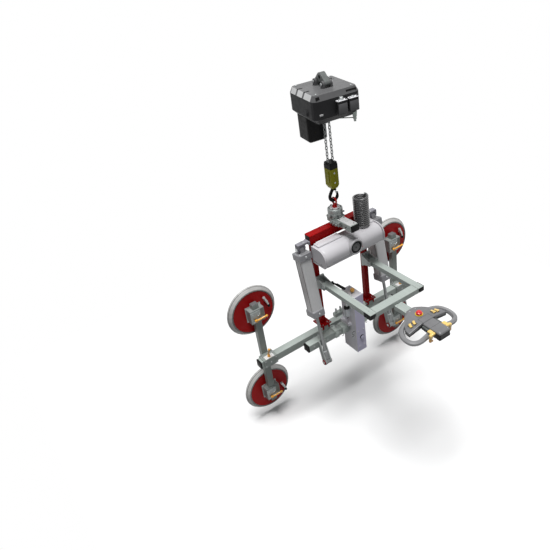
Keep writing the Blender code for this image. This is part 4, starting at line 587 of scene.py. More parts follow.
class Shape:
    """One new piece: shapes are added to its mesh, then it is finished and put on its body."""

    def __init__(self, name, body, finish, turn=None, centre=(0, 0, 0)):
        self.name = name
        self.body = body
        self.finish = finish
        self.mesh = bmesh.new()
        self.turn = Matrix.Translation(centre) @ (turn or Matrix.Identity(4))

    def bevel(self, verts, width, segments=2):
        edges = {edge for vert in verts for edge in vert.link_edges}
        sharp = [edge for edge in edges if edge.is_valid and edge.calc_face_angle(0.0) > SHARP_EDGE]
        if width > 0 and sharp:
            bmesh.ops.bevel(self.mesh, geom=sharp, offset=width, offset_type="OFFSET", segments=segments,
                            profile=0.5, affect="EDGES", clamp_overlap=True, material=-1)

    def block(self, x, y, z, rounding=0.001, segments=2, turn=None):
        """A box between two values on each axis, or turned about its middle."""
        made = bmesh.ops.create_cube(self.mesh, size=1.0)["verts"]
        size = [abs(span[1] - span[0]) for span in (x, y, z)]
        place = Matrix.Translation([sum(span) / 2 for span in (x, y, z)])
        bmesh.ops.scale(self.mesh, vec=size, verts=made)
        bmesh.ops.transform(self.mesh, matrix=place @ (turn or Matrix.Identity(4)), verts=made)
        self.bevel(made, min(rounding, 0.45 * min(size)), segments)
        return self

    def rod(self, start, end, radius, sides=20, tip=None, rounding=0.0):
        """A round bar or a cone between two points."""
        start, end = Vector(start), Vector(end)
        span = end - start
        made = bmesh.ops.create_cone(self.mesh, cap_ends=True, segments=sides, radius1=radius,
                                     radius2=radius if tip is None else tip, depth=span.length)["verts"]
        place = Matrix.Translation((start + end) / 2) @ span.to_track_quat("Z", "Y").to_matrix().to_4x4()
        bmesh.ops.transform(self.mesh, matrix=place, verts=made)
        self.bevel(made, rounding, 1)
        return self

    def post(self, x, y, start, end, radius, sides=20, rounding=0.0, tip=None):
        """A round bar or a cone parallel to Z."""
        return self.rod((x, y, start), (x, y, end), radius, sides, tip, rounding)

    def spun(self, profile, place, direction=UP, steps=28):
        """A profile of (radius, height) points turned about a direction."""
        points = [self.mesh.verts.new((radius, 0, height)) for radius, height in profile]
        lines = [self.mesh.edges.new(pair) for pair in zip(points, points[1:])]
        made = bmesh.ops.spin(self.mesh, geom=[*points, *lines], axis=UP, cent=(0, 0, 0), dvec=(0, 0, 0),
                              angle=math.tau, steps=steps, use_merge=True, use_duplicate=False)
        verts = set(points) | {item for item in made["geom_last"] if isinstance(item, bmesh.types.BMVert)}
        reached = set()
        waiting = [vert for vert in verts if vert.is_valid]
        while waiting:
            vert = waiting.pop()
            if vert not in reached:
                reached.add(vert)
                waiting += [edge.other_vert(vert) for edge in vert.link_edges]
        bmesh.ops.remove_doubles(self.mesh, verts=list(reached), dist=WELD)
        kept = [vert for vert in reached if vert.is_valid]
        turn = Vector(direction).to_track_quat("Z", "Y").to_matrix().to_4x4()
        bmesh.ops.transform(self.mesh, matrix=Matrix.Translation(place) @ turn, verts=kept)
        return self

    def screw(self, place, direction, radius=None, tall=None):
        """A cap screw with a socket, standing on a face."""
        head = radius or sizes().screw_head
        rise = tall or head * 0.75
        profile = ((0, rise * 0.45), (head * 0.48, rise * 0.45), (head * 0.52, rise), (head * 0.84, rise),
                   (head, rise * 0.80), (head, -0.0006), (0, -0.0006))
        return self.spun(profile, place, direction, 14)

    def head(self, place, direction, radius, flat, rise, shoulder, foot, steps=24):
        """A flat round head with a sloped rim, as on a pin."""
        profile = ((0, rise), (flat, rise), (radius, shoulder), (radius, -foot), (0, -foot))
        return self.spun(profile, place, direction, steps)

    def bolt(self, place, direction, radius, tall):
        """A hexagon head on a washer."""
        way = Vector(direction).normalized()
        start = Vector(place)
        self.rod(start - way * 0.0005, start + way * tall * 0.22, radius * 1.25, 18)
        return self.rod(start + way * tall * 0.2, start + way * tall, radius, 6, rounding=radius * 0.08)

    def tube(self, path, radius, sides=10):
        """A round bar that follows points, with closed ends."""
        points = [Vector(point) for point in path]
        first = (points[1] - points[0]).normalized()
        made = bmesh.ops.create_circle(self.mesh, cap_ends=False, segments=sides, radius=radius)["verts"]
        turn = first.to_track_quat("Z", "Y").to_matrix().to_4x4()
        bmesh.ops.transform(self.mesh, matrix=Matrix.Translation(points[0]) @ turn, verts=made)
        edges = list({edge for vert in made for edge in vert.link_edges})
        bmesh.ops.contextual_create(self.mesh, geom=edges)
        way = first
        for index, point in enumerate(points[1:], 1):
            after = points[min(index + 1, len(points) - 1)]
            ahead = (after - points[index - 1]).normalized()
            grown = bmesh.ops.extrude_edge_only(self.mesh, edges=edges)["geom"]
            ring = [item for item in grown if isinstance(item, bmesh.types.BMVert)]
            edges = [item for item in grown if isinstance(item, bmesh.types.BMEdge)
                     and all(vert in ring for vert in item.verts)]
            move = Matrix.Translation(point) @ way.rotation_difference(ahead).to_matrix().to_4x4()
            bmesh.ops.transform(self.mesh, matrix=move @ Matrix.Translation(-points[index - 1]), verts=ring)
            way = ahead
        bmesh.ops.contextual_create(self.mesh, geom=edges)
        return self

    def ball(self, place, radius):
        made = bmesh.ops.create_uvsphere(self.mesh, u_segments=18, v_segments=12, radius=radius)["verts"]
        bmesh.ops.translate(self.mesh, vec=place, verts=made)
        return self

    def finished(self, slot, replaces=()):
        """Makes the object and puts it on its body; the slot argument is not used."""
        bmesh.ops.transform(self.mesh, matrix=self.turn, verts=self.mesh.verts)
        bmesh.ops.recalc_face_normals(self.mesh, faces=self.mesh.faces)
        data = bpy.data.meshes.new(self.name)
        self.mesh.to_mesh(data)
        self.mesh.free()
        data.shade_smooth()
        data.set_sharp_from_angle(angle=SMOOTH_BELOW)
        obj = bpy.data.objects.new(self.name, data)
        bpy.context.scene.collection.objects.link(obj)
        assign(obj, self.finish)
        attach(obj, self.body)
        if replaces:
            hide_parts(*replaces)
        return obj


# Hoist, chain and hook

def hoist_shape(name, finish):
    return Shape(name, "hoist", finish, HOIST_TURN)


class LIFTER_OT_hoist(bpy.types.Operator):
    """Adds the hoist's lid trims, covers, connectors, limit switch arm and screws."""

    bl_idname = "lifter.hoist"
    bl_label = "Hoist details"

    def execute(self, context):
        self.lid()
        self.covers()
        self.tabs()
        self.plugs()
        self.switch()
        self.screws()
        return {"FINISHED"}

    def lid(self):
        """Pale strips of painted highlight on the lid's left sloped edge, black sheets of painted recess
        shade on its front slope, and black seams.
        """
        rise = sizes().label_rise
        # The pale strips are a painted highlight where light falls on the lid's left slope.
        strips = hoist_shape("lid_highlight_strips", "pale_plate_and_highlight_paint")
        lean = Matrix.Rotation(-LID_SLOPE, 4, "Y")
        for span in ((-0.100, -0.032), (-0.016, 0.038), (0.054, 0.104)):
            strips.block(around(-HOIST_X + 0.0065, 0.0140), span, (-0.0556, -0.0556 + rise), 0.0004, 1, lean)
        strips.finished("hoist_cover")
        trims = hoist_shape("hoist_seams_and_recess_shade", "black_plastic")
        lean = Matrix.Rotation(LID_SLOPE, 4, "X")
        # The two black sheets on the front slope are painted shade of recesses.
        for span, half in (((0.050, 0.104), 0.0045), ((-0.1075, -0.088), 0.0070)):
            trims.block(span, around(-HOIST_Y + 0.0068, half), (-0.0550, -0.0550 + rise), 0.0004, 1, lean)
        seam = (HOIST_TOP - 0.001, HOIST_TOP + 0.0008)
        trims.block((0.012, 0.092), (0.054, 0.0552), seam, 0.0002, 1)
        trims.block((0.0120, 0.0132), (0.054, 0.116), seam, 0.0002, 1)
        trims.block(around(0, HOIST_X + 0.0006), around(0, HOIST_Y - 0.030),
                    (HOIST_SHOULDER - 0.0012, HOIST_SHOULDER + 0.0004), 0.0002, 1)
        trims.finished("chain_container")

    def covers(self):
        """A round cover on the left face and a ribbed one on the back."""
        covers = hoist_shape("hoist_side_covers", "hoist_paint")
        covers.spun(((0, 0.006), (0.010, 0.006), (0.011, 0.004), (0.0155, 0.004), (0.017, 0.002),
                     (0.018, -0.001), (0, -0.001)), (-HOIST_X, -0.052, -0.132), (-1, 0, 0), 36)
        covers.block(around(0, HOIST_X - 0.020), (HOIST_Y - 0.001, HOIST_Y + 0.004), (-0.140, -0.084), 0.003)
        for index in range(6):
            z = -0.132 + index * 0.009
            covers.block(around(0, HOIST_X - 0.032), around(HOIST_Y + 0.0045, 0.0025), (z, z + 0.004), 0.0015)
        covers.finished("hoist_housing")

    def tabs(self):
        tabs = hoist_shape("hoist_tabs", "pale_plate_and_highlight_paint")
        tabs.block((-0.098, -0.080), (-HOIST_Y - 0.0022, -HOIST_Y + 0.002), (-0.136, -0.127), 0.0012)
        tabs.block((-0.060, -0.042), (-0.102, -0.094), (-0.1875, -0.180), 0.0012)
        tabs.finished("hoist_cover")

    def plugs(self):
        """Flanges, tops, catches and cable glands of the two plug connectors."""
        plugs = hoist_shape("plug_fittings", "cover_end_paint")
        tops = hoist_shape("plug_tops", "white_and_highlight_paint")
        catches = hoist_shape("plug_catches", "black_plastic")
        for x in (0.012, 0.072):
            plugs.block(around(x, 0.023), (-0.1640, -0.160), (-0.142, -0.096), 0.0012)
            tops.block(around(x, 0.025), (-0.1642, -0.139), (-0.0845, -0.0812), 0.001, 1)
            for side in MIRROR:
                across = around(x + side * 0.0255, 0.0012)
                catches.block(across, (-0.158, -0.146), (-0.120, -0.086), 0.0008, 1)
                catches.screw((x + side * 0.019, -0.1560, -0.0812), UP, 0.0030)
        catches.block((0.0365, 0.0475), (-0.1480, -0.1370), (-0.1300, -0.0780), 0.0012)
        plugs.finished("plug_connectors")
        tops.finished("plug_connectors")
        catches.finished("chain_container")
        glands = hoist_shape("cable_glands", "bright_steel")
        for x, start, end, radius, sides, rounding in (
            (0.012, -0.082, -0.0735, 0.0115, 6, 0.0006),
            (0.012, -0.0735, -0.0670, 0.0092, 18, 0.0008),
            (0.072, -0.082, -0.0760, 0.0080, 6, 0.0006),
        ):
            glands.post(x, -0.1494, start, end, radius, sides, rounding)
        glands.finished("plug_connectors")

    def switch(self):
        """The limit switch under the hoist, with its arm to the chain."""
        switch = hoist_shape("limit_switch_arm", "pale_metal")
        x, y, tip = 0.096, -0.114, (0.030, -0.058, -0.195)
        switch.post(x, y, -0.163, -0.189, 0.0120, 20, 0.001, 0.0100)
        switch.post(x, y, -0.188, -0.203, 0.0088, 6, 0.0008)
        switch.post(x, y, -0.202, -0.213, 0.0060, 14, 0.0008)
        switch.rod(tip, (x, y, -0.195), 0.0026, 10)
        switch.ball(tip, 0.0046)
        switch.finished("plug_connectors")

    def screws(self):
        screws = hoist_shape("hoist_screws", "bright_steel")
        for x, y in corners(0.092, 0.104):
            screws.screw((x, y, HOIST_TOP), UP, 0.0048)
        for x in (0.026, 0.079):
            screws.screw((x, 0.087, HOIST_TOP + 0.006), UP, 0.0030)
        for side, y in corners(1, 0.04):
            screws.head((side * 0.0286, y, -0.024), (side, 0, 0), 0.0078, 0.0062, 0.0030, 0.0012, 0.0005, 20)
        screws.finished("suspension_eye")


class LIFTER_OT_hook(bpy.types.Operator):
    """Adds the hook block's screws and ribs and the two chain guides."""

    bl_idname = "lifter.hook"
    bl_label = "Hook block details"

    def execute(self, context):
        mid = middle("hook_block").z
        screws = Shape("hook_block_screws", "hook_block", "bright_steel", HOIST_TURN)
        ribs = Shape("hook_block_ribs", "hook_block", "olive_paint", HOIST_TURN)
        guides = hoist_shape("chain_guide", "dark_steel")
        for side in MIRROR:
            for z in (mid + 0.034, mid - 0.020):
                screws.screw((0, side * 0.0307, z), (0, side, 0), 0.0046, 0.0030)
            ribs.block(around(0, 0.0012), (side * 0.0300, side * 0.0322), (mid - 0.012, mid + 0.028), 0.0006)
            ribs.block((side * 0.0236, side * 0.0252), around(0, 0.016), (mid - 0.020, mid + 0.040), 0.0007)
            place = HOIST_TURN.inverted() @ Vector((side * 0.014, 0, 0))
            guides.spun(((0.0090, 0.003), (0.0128, 0.003), (0.0128, -0.004), (0.0112, -0.006),
                         (0.0096, -0.006), (0.0090, -0.004), (0.0090, 0.003)), (place.x, place.y, -0.1826))
        screws.finished("hook_block")
        ribs.finished("hook_block")
        guides.finished("hoist_housing")
        return {"FINISHED"}


class LIFTER_OT_head(bpy.types.Operator):
    """Adds the union's flange, bolts and connectors, and the head beam's plates and screws."""

    bl_idname = "lifter.head"
    bl_label = "Union and head beam"

    def execute(self, context):
        self.union()
        self.beam()
        return {"FINISHED"}

    def union(self):
        """The white flange, a painted highlight on the union's top, its six screws, the connectors round the
        union and the bolts of its foot.
        """
        top = high("rotary_union").z
        centre = Vector((0, 0, low("rotary_union").z + 0.012))
        # The flange's white paint is a painted highlight of the union's top.
        flange = Shape("union_flange", "frame", "white_and_highlight_paint")
        flange.spun(((0.0140, 0.0008), (0.0260, 0.0008), (0.0275, -0.0010), (0.0275, -0.0030),
                     (0.0140, -0.0030), (0.0140, 0.0008)), (0, 0, top + 0.0008), UP, 40)
        flange.finished("rotary_union")
        bolts = Shape("union_bolts", "frame", "dark_steel")
        for index in range(6):
            angle = math.tau * (index + 0.5) / 6
            bolts.screw((0.0325 * math.cos(angle), 0.0325 * math.sin(angle), top), UP, 0.0044)
        for degrees in (200, 250, 340):
            angle = math.radians(degrees)
            way = Vector((math.cos(angle), math.sin(angle), 0))
            bolts.rod(centre + way * 0.0395, centre + way * 0.047, 0.0062, 6)
            bolts.rod(centre + way * 0.0465, centre + way * 0.0510, 0.0046, 14)
        for x, y in corners(0.029, 0.029):
            bolts.bolt((x, y, high("head_beam").z - 0.0002), UP, 0.0045, 0.0040)
        bolts.finished("rotary_union")

    def beam(self):
        """The plates and screws on the head beam's top and left side."""
        top = high("head_beam").z - 0.004
        plates = Shape("head_beam_plates", "frame", "pale_plate_and_highlight_paint")
        plates.block(around(0, 0.0235), (-0.094, -0.0425), (top - 0.0005, top + 0.0012), 0.0005, 1)
        plates.block(around(0, 0.0235), (-0.151, -0.0975), (top - 0.0005, top + 0.0018), 0.0005, 1)
        plates.finished("head_beam")
        screws = Shape("head_beam_screws", "frame", "dark_steel")
        screws.screw((0.010, -0.140, top + 0.0018), UP, 0.0036)
        for x in around(0, 0.015):
            screws.screw((x, -0.052, top + 0.0012), UP, 0.0030)
        for y in (-0.054, -0.0855, -0.117):
            screws.rod((-0.0250, y, top - 0.018), (-0.0300, y, top - 0.018), 0.0042, 6)
        screws.finished("valve_block")


def shrunk(box, inset):
    """The three spans of a box, drawn in by an inset."""
    return [[start + inset, end - inset] for start, end in zip(*box)]


def end_cap(shape, axis, side, reach, box):
    """A plastic cap on the open end of a beam, with its plug inside the tube."""
    face = box[0 if side < 0 else 1][axis]
    cap = shrunk(box, 0.0004)
    cap[axis] = [face, face + side * reach]
    shape.block(*cap, 0.0016)
    plug = shrunk(box, 0.0052)
    plug[axis] = [face - side * 0.012, face + side * 0.001]
    shape.block(*plug, 0.0005, 1)


class LIFTER_OT_end_caps(bpy.types.Operator):
    """Closes every open beam end with a plastic cap."""

    bl_idname = "lifter.end_caps"
    bl_label = "End caps"

    def execute(self, context):
        self.frame_caps()
        self.pad_frame_caps()
        self.handle_caps()
        return {"FINISHED"}

    def frame_caps(self):
        caps = Shape("frame_end_caps", "frame", "black_plastic")
        first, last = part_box("head_beam")
        tube = ((-0.025, first.y, first.z), (0.025, last.y, last.z - 0.004))
        end_cap(caps, 1, -1, sizes().end_cap, tube)
        end_cap(caps, 1, 1, sizes().end_cap * 0.3, tube)
        caps.finished("chain_container")
        trims = Shape("crossbar_end_trims", "frame", "black_plastic")
        for side in MIRROR:
            x = side * high("frame_crossbar").x
            plug = shrunk(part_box("frame_crossbar"), 0.0046)
            plug[0] = [x - side * 0.014, x - side * 0.0002]
            trims.block(*plug, 0.0004, 1)
        trims.finished("chain_container")

    def pad_frame_caps(self):
        """Caps of the pivot beam, of the cross beam and of the two pad arms."""
        beams = Shape("pad_frame_end_caps", "pad_frame", "black_plastic")
        for node, deep, tall in (("pivot_beam", PIVOT_BEAM_Y, PIVOT_BEAM_Z),
                                 ("cross_beam", CROSS_BEAM_Y, CROSS_BEAM_Z)):
            tube = tuple(zip((low(node).x, high(node).x), deep, tall))
            for side in MIRROR:
                end_cap(beams, 0, side, sizes().end_cap, tube)
        beams.finished("chain_container")
        for name, side in SIDES:
            arm = Shape("arm_end_caps_" + name, "arm_" + name, "cover_end_paint")
            first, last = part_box("pad_arm_" + name)
            tube = tuple(zip(around(side * ARM_X, 0.020), (last.y - 0.034, last.y), (first.z, last.z)))
            for end in MIRROR:
                end_cap(arm, 2, end, 0.0030, tube)
            arm.finished("chain_container")

    def handle_caps(self):
        """Caps of the handle frame's cross bar and of its two long bars."""
        handle = Shape("handle_end_caps", "handle", "black_plastic")
        front, back = -0.465, -0.415
        base = HANDLE_TOP - 0.030
        for side in MIRROR:
            x = side * high("handle_frame").x
            handle.block((x - side * 0.0004, x + side * 0.0030), (front + 0.0006, back - 0.0006),
                         (base + 0.0006, HANDLE_TOP - 0.0006), 0.0010)
            handle.block((x - side * 0.030, x - side * 0.0002), (front - 0.0012, front + 0.001),
                         (base + 0.0008, HANDLE_TOP - 0.0016), 0.0008)
            handle.block(around(side * JOINT_X, 0.0168), (-0.0625, -0.075), (-1.0948, -1.0712), 0.0006, 1)
        handle.finished("chain_container")


# Vacuum unit and hose

def unit_section(top):
    """The vacuum unit's outline: flat back, large round top front, small round bottom front."""
    base = top - UNIT_TALL
    points = [(UNIT_BACK, base), (UNIT_BACK, top)]
    for radius, centre, quarter in ((0.055, top - 0.055, 1), (0.022, base + 0.022, 2)):
        for step in range(11):
            angle = math.pi / 2 * (quarter + step / 10)
            points.append((UNIT_FRONT + radius + radius * math.cos(angle), centre + radius * math.sin(angle)))
    return points


class LIFTER_OT_vacuum_unit(bpy.types.Operator):
    """Makes the vacuum unit's rounded cover, its raised panels, gauge, lamp, vents and screws."""

    bl_idname = "lifter.vacuum_unit"
    bl_label = "Vacuum unit"

    def execute(self, context):
        self.cover()
        self.trims()
        self.gauge()
        return {"FINISHED"}

    def cover(self):
        """One outline drawn through the length of the unit, with its end edges rounded."""
        first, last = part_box("vacuum_unit_cover")
        shell = Shape("vacuum_unit_shell", "frame", "cover_paint")
        outline = [shell.mesh.verts.new((last.x, y, z)) for y, z in unit_section(last.z)]
        drawn = bmesh.ops.extrude_face_region(shell.mesh, geom=[shell.mesh.faces.new(outline)])["geom"]
        far = [item for item in drawn if isinstance(item, bmesh.types.BMVert)]
        bmesh.ops.translate(shell.mesh, vec=(first.x - last.x, 0, 0), verts=far)
        rims = [edge for edge in shell.mesh.edges
                if abs(edge.verts[0].co.x - edge.verts[1].co.x) < 1e-6
                and min(vert.co.y for vert in edge.verts) < UNIT_BACK - 0.0001]
        bmesh.ops.bevel(shell.mesh, geom=rims, offset=0.015, offset_type="OFFSET", segments=5, profile=0.5,
                        affect="EDGES", clamp_overlap=True, material=-1)
        shell.finished("vacuum_unit_cover", ("vacuum_unit_cover",))
        panels = Shape("vacuum_unit_panels", "frame", "cover_paint")
        for span, rise, rounding in (((-0.190, -0.032), 0.0092, 0.0045), ((0.036, 0.074), 0.0092, 0.0045),
                                     ((0.172, 0.192), 0.0062, 0.0030)):
            panels.block(span, (-0.084, -0.036), (last.z - 0.002, last.z + rise), rounding, 3)
        panels.finished("vacuum_unit_cover")

    def trims(self):
        """Vents and seams, the two lines on the front, the warning lamp and the screws."""
        top = high("vacuum_unit_cover").z
        base = top - UNIT_TALL
        seams = Shape("vacuum_unit_seams", "frame", "seam_black_and_recess_shade")
        for index in range(9):
            x = -0.060 + index * 0.015
            seams.block((x, x + 0.009), (-0.128, -0.060), (base - 0.0005, base + 0.001), 0.0003, 1)
        for side in MIRROR:
            across = (side * 0.2052, side * 0.2040)
            seams.block(across, (-0.128, -0.050), (base + 0.012, base + 0.014), 0.0003, 1)
        seams.finished("vacuum_pump_body")
        lines = Shape("vacuum_unit_strip", "frame", "dial_grey")
        for end, start, rise in ((-0.010, 0.0275, 0.0285), (-0.030, 0.0225, 0.0232)):
            lines.block((-0.160, end), (UNIT_FRONT - 0.0006, UNIT_FRONT + 0.001), (base + start, base + rise),
                        0.0002, 1)
        lines.finished("vacuum_pump_body")
        lamp = Shape("warning_lamp", "frame", "lamp_red")
        lamp.spun(((0, 0.0032), (0.0024, 0.0026), (0.0034, 0.0008), (0.0034, -0.0010), (0, -0.0010)),
                  (0.045, UNIT_FRONT + 0.0001, top - 0.064), FRONT, 20)
        lamp.finished("emergency_stop")
        screws = Shape("vacuum_unit_screws", "frame", "bright_steel")
        for side in MIRROR:
            for y, z in ((-0.052, top - 0.018), (-0.052, base + 0.020), (-0.118, base + 0.024)):
                screws.screw((side * 0.2050, y, z), (side, 0, 0), 0.0036, 0.0022)
        for x in (-0.180, -0.044):
            screws.screw((x, -0.060, top + 0.0092), UP, 0.0030)
        screws.screw((0.0, UNIT_FRONT + 0.001, top - 0.082), FRONT, 0.0026, 0.0014)
        screws.finished("vacuum_pump_body")

    def gauge(self):
        """A dish round the gauge, its dial, marks and pointer; the rim and the dish's dark annulus are
        painted shade.
        """
        face, level = low("vacuum_gauge").y, middle("vacuum_gauge").z
        # The rim's darker copy of the cover paint and the dish's dark annulus are painted shade of the recess
        # round the gauge.
        for name, finish, steps, profile in (
            ("gauge_rim", "gauge_ring_shade", 48, (
                (0.0350, -0.0020), (0.0355, 0.0046), (0.0385, 0.0060), (0.0425, 0.0046), (0.0445, 0.0010),
                (0.0450, -0.0340), (0.0340, -0.0340), (0.0330, -0.0080), (0.0350, -0.0020))),
            ("gauge_dish_shade", "seam_black_and_recess_shade", 44, (
                (0.0220, 0.0003), (0.0230, 0.0003), (0.0352, 0.0030), (0.0352, -0.0010), (0.0220, -0.0010),
                (0.0220, 0.0003))),
            ("gauge_dial", "dial_grey", 40, (
                (0, 0.0010), (0.0212, 0.0010), (0.0218, 0.0024), (0.0230, 0.0024), (0.0236, -0.0005),
                (0, -0.0005))),
        ):
            shape = Shape(name, "frame", finish)
            shape.spun(profile, (0, face, level), FRONT, steps)
            shape.finished("vacuum_gauge")
        marks = Shape("gauge_marks", "frame", "black_plastic")
        for index in range(11):
            angle = math.radians(225 - index * 27)
            way = Vector((math.cos(angle), 0, math.sin(angle)))
            centre = Vector((0, face - 0.0012, level))
            marks.rod(centre + way * 0.0155, centre + way * 0.0195, 0.0005, 6)
        marks.tube([(0, face - 0.0018, level), (-0.0100, face - 0.0018, level + 0.0058)], 0.0007, 6)
        marks.rod((0, face - 0.0008, level), (0, face - 0.0030, level), 0.0024, 16)
        marks.finished("vacuum_gauge")


class LIFTER_OT_hose(bpy.types.Operator):
    """Makes the spiral air hose from its smooth line, with a fitting at each end."""

    bl_idname = "lifter.hose"
    bl_label = "Spiral hose"

    def execute(self, context):
        first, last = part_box("spiral_hose")
        bore = sizes().hose_bore
        coil = (last.x - first.x) / 2 - bore / 2 - 0.0002
        across, along = middle("spiral_hose").xy
        start, end = first.z + bore / 2 + 0.003, last.z - bore / 2 - 0.001
        points = sizes().hose_turns * STEPS_IN_TURN
        path = []
        for step in range(points + 1):
            angle = math.tau * step / STEPS_IN_TURN
            path.append((across + coil * math.cos(angle), along + coil * math.sin(angle),
                         start + (end - start) * step / points))
        curve = bpy.data.curves.new("spiral_hose_coil", "CURVE")
        curve.dimensions = "3D"
        curve.bevel_depth = bore / 2
        curve.bevel_resolution = 2
        curve.use_fill_caps = True
        line = curve.splines.new("POLY")
        line.points.add(len(path) - 1)
        for point, place in zip(line.points, path):
            point.co = (*place, 1.0)
        line.use_smooth = True
        obj = bpy.data.objects.new("spiral_hose_coil", curve)
        context.scene.collection.objects.link(obj)
        assign(obj, "hose_rubber")
        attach(obj, "frame")
        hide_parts("spiral_hose")
        fittings = Shape("hose_fittings", "frame", "bright_steel")
        for (x, y, z), way in ((path[0], -1), (path[-1], 1)):
            fittings.rod((x, y + way * 0.001, z), (x, y + way * 0.010, z), bore * 0.56, 12)
        fitted = fittings.finished("spiral_hose")
        return {"FINISHED"}


# Tilt cylinders and pad frame

class LIFTER_OT_cylinders(bpy.types.Operator):
    """Adds the cylinders' cap screws, ports, glands and pin heads."""

    bl_idname = "lifter.cylinders"
    bl_label = "Tilt cylinders"

    def execute(self, context):
        for name, side in SIDES:
            place = (side * CYLINDER_X, 0, CYLINDER_Z)
            self.caps(name, place)
            self.barrel(name, place)
            nut = Shape("rod_lock_nut_" + name, "piston_" + name, "bright_steel", CYLINDER_TURN, place)
            nut.post(0, 0, -0.660, -0.6685, 0.0135, 6, 0.0008)
            nut.finished("piston_rod_" + name)
            self.hanger(name, side)
        return {"FINISHED"}

    def caps(self, name, place):
        """Tie screws, ports and cover plates of the cylinder's two end caps."""
        body = "cylinder_" + name
        screws = Shape("cylinder_screws_" + name, body, "bright_steel", CYLINDER_TURN, place)
        for x, y in corners(0.029, 0.029):
            screws.screw((x, y, -0.022), UP, 0.0050, 0.0028)
            screws.screw((x, y, -0.417), DOWN, 0.0050, 0.0040)
        for z in (-0.043, -0.396):
            screws.spun(((0, 0.0015), (0.0028, 0.0015), (0.0034, 0.0048), (0.0052, 0.0048), (0.0060, 0.0036),
                         (0.0060, -0.0008), (0, -0.0008)), (0, -0.039, z), FRONT, 18)
        screws.finished("piston_rod_" + name)
        lids = Shape("cylinder_cap_plates_" + name, body, "dial_grey", CYLINDER_TURN, place)
        for span in ((-0.0212, -0.0225), (-0.4165, -0.4176)):
            for y in around(0, 0.0275):
                lids.block(around(0, 0.0215), around(y, 0.0080), span, 0.0005, 1)
        lids.finished(body)

    def barrel(self, name, place):
        """The rod gland and the strips along the barrel's sides."""
        body = "cylinder_" + name
        gland = Shape("rod_gland_" + name, body, "cylinder_finish", CYLINDER_TURN, place)
        gland.spun(((0.0098, -0.0005), (0.0190, -0.0005), (0.0190, 0.0050), (0.0165, 0.0080),
                    (0.0120, 0.0080), (0.0098, 0.0060), (0.0098, -0.0005)), (0, 0, -0.417), DOWN, 36)
        gland.finished(body)
        strips = Shape("sensor_strips_" + name, body, "seam_black_and_recess_shade", CYLINDER_TURN, place)
        for end in MIRROR:
            strips.block((end * 0.0316, end * 0.0324), around(0, 0.0036), (-0.374, -0.065), 0.0002, 1)
            for y in around(0, 0.021):
                strips.block((end * 0.0336, end * 0.0343), around(y, 0.0014), (-0.3745, -0.0645), 0.0002, 1)
        strips.finished(body)

    def hanger(self, name, side):
        """The heads of the hanger's pin and its two bolts."""
        pins = Shape("hanger_pin_heads_" + name, "frame", "bright_steel")
        for end in MIRROR:
            pins.head((side * CYLINDER_X + end * 0.0257, 0, CYLINDER_Z), (end, 0, 0),
                      0.0105, 0.0090, 0.0030, 0.0015, 0.0010)
        for y in around(0, 0.010):
            pins.bolt((side * 0.233, y, high("cylinder_hanger_" + name).z), UP, 0.0045, 0.0042)
        pins.finished("cylinder_hanger_" + name)


class LIFTER_OT_pad_frame(bpy.types.Operator):
    """Adds the tilt pins, crank pins and rollers, beam bolts, clamps and cable clips."""

    bl_idname = "lifter.pad_frame"
    bl_label = "Tilting frame"

    def execute(self, context):
        for name, side in SIDES:
            self.pins(name, side)
        self.bolts()
        self.clamps()
        return {"FINISHED"}

    def pins(self, name, side):
        """The heads of the tilt pin and of the crank pin, with the crank's rollers."""
        pins = Shape("tilt_pin_heads_" + name, "frame", "bright_steel")
        for end in MIRROR:
            pins.head((side * UPRIGHT_X + end * 0.0238, TILT_Y, TILT_Z), (end, 0, 0),
                      0.0086, 0.0074, 0.0030, 0.0016, 0.0008)
        for x, y in corners(0.0245, 0.030):
            pins.post(side * UPRIGHT_X + x, y, -1.3782, -1.3772, 0.0090)
        pins.finished("upright_" + name)
        crank = Shape("crank_pin_" + name, "pad_frame", "bright_steel")
        roller = Shape("crank_roller_" + name, "pad_frame", "roller_red")
        for end in MIRROR:
            crank.head((side * CYLINDER_X + end * 0.0206, CRANK_Y, CRANK_Z), (end, 0, 0),
                       0.0080, 0.0070, 0.0058, 0.0048, 0.0008)
            roller.spun(((0.0080, 0.0), (0.0150, 0.0), (0.0162, 0.0012), (0.0162, 0.0030), (0.0150, 0.0042),
                         (0.0080, 0.0042), (0.0080, 0.0)),
                        (side * CYLINDER_X + end * 0.0204, CRANK_Y, CRANK_Z), (end, 0, 0), 32)
        crank.finished("piston_rod_" + name)
        roller.finished("pivot_beam")

    def bolts(self):
        """Screws in the beams' front faces and bolts on their tops."""
        bolts = Shape("beam_bolts", "pad_frame", "bright_steel")
        for side in MIRROR:
            for x in (0.110, 0.145, 0.205, 0.300):
                bolts.screw((side * x, PIVOT_BEAM_Y[0], -1.451), FRONT, 0.0044)
            for x in (0.175, 0.205):
                bolts.screw((side * x, CROSS_BEAM_Y[0], -1.526), FRONT, 0.0044)
            bolts.bolt((side * 0.110, -0.0505, PIVOT_BEAM_Z[1]), UP, 0.0050, 0.0045)
            bolts.bolt((side * 0.110, 0.078, CROSS_BEAM_Z[1]), UP, 0.0050, 0.0045)
        bolts.finished("pivot_beam")

    def clamps(self):
        """The angle plates on the beams and the small clips for cables."""
        clamps = Shape("beam_clamps", "pad_frame", "pale_metal")
        clips = Shape("cable_clips", "pad_frame", "dark_steel")
        for side in MIRROR:
            for start, end in ((0.040, 0.094), (0.118, 0.146)):
                span = (side * start, side * end)
                clamps.block(span, (-0.0870, -0.0355), (-1.4279, -1.4235), 0.0012)
                clamps.block(span, (-0.0870, -0.0821), (-1.4740, -1.4240), 0.0012)
            clamps.block((side * 0.120, side * 0.150), (0.0630, 0.0678), (-1.5500, -1.5020), 0.0012)
            for x in (0.085, 0.225):
                bends = ((0, -0.078, -1.474), (0, -0.080, -1.484),
                         (0.006, -0.084, -1.489), (0.012, -0.080, -1.485))
                clips.tube([(side * (x + across), y, z) for across, y, z in bends], 0.0016, 8)
        clamps.finished("manifold")
        clips.finished("valve_block")


def box_shape(name, finish):
    return Shape(name, "pad_frame", finish)


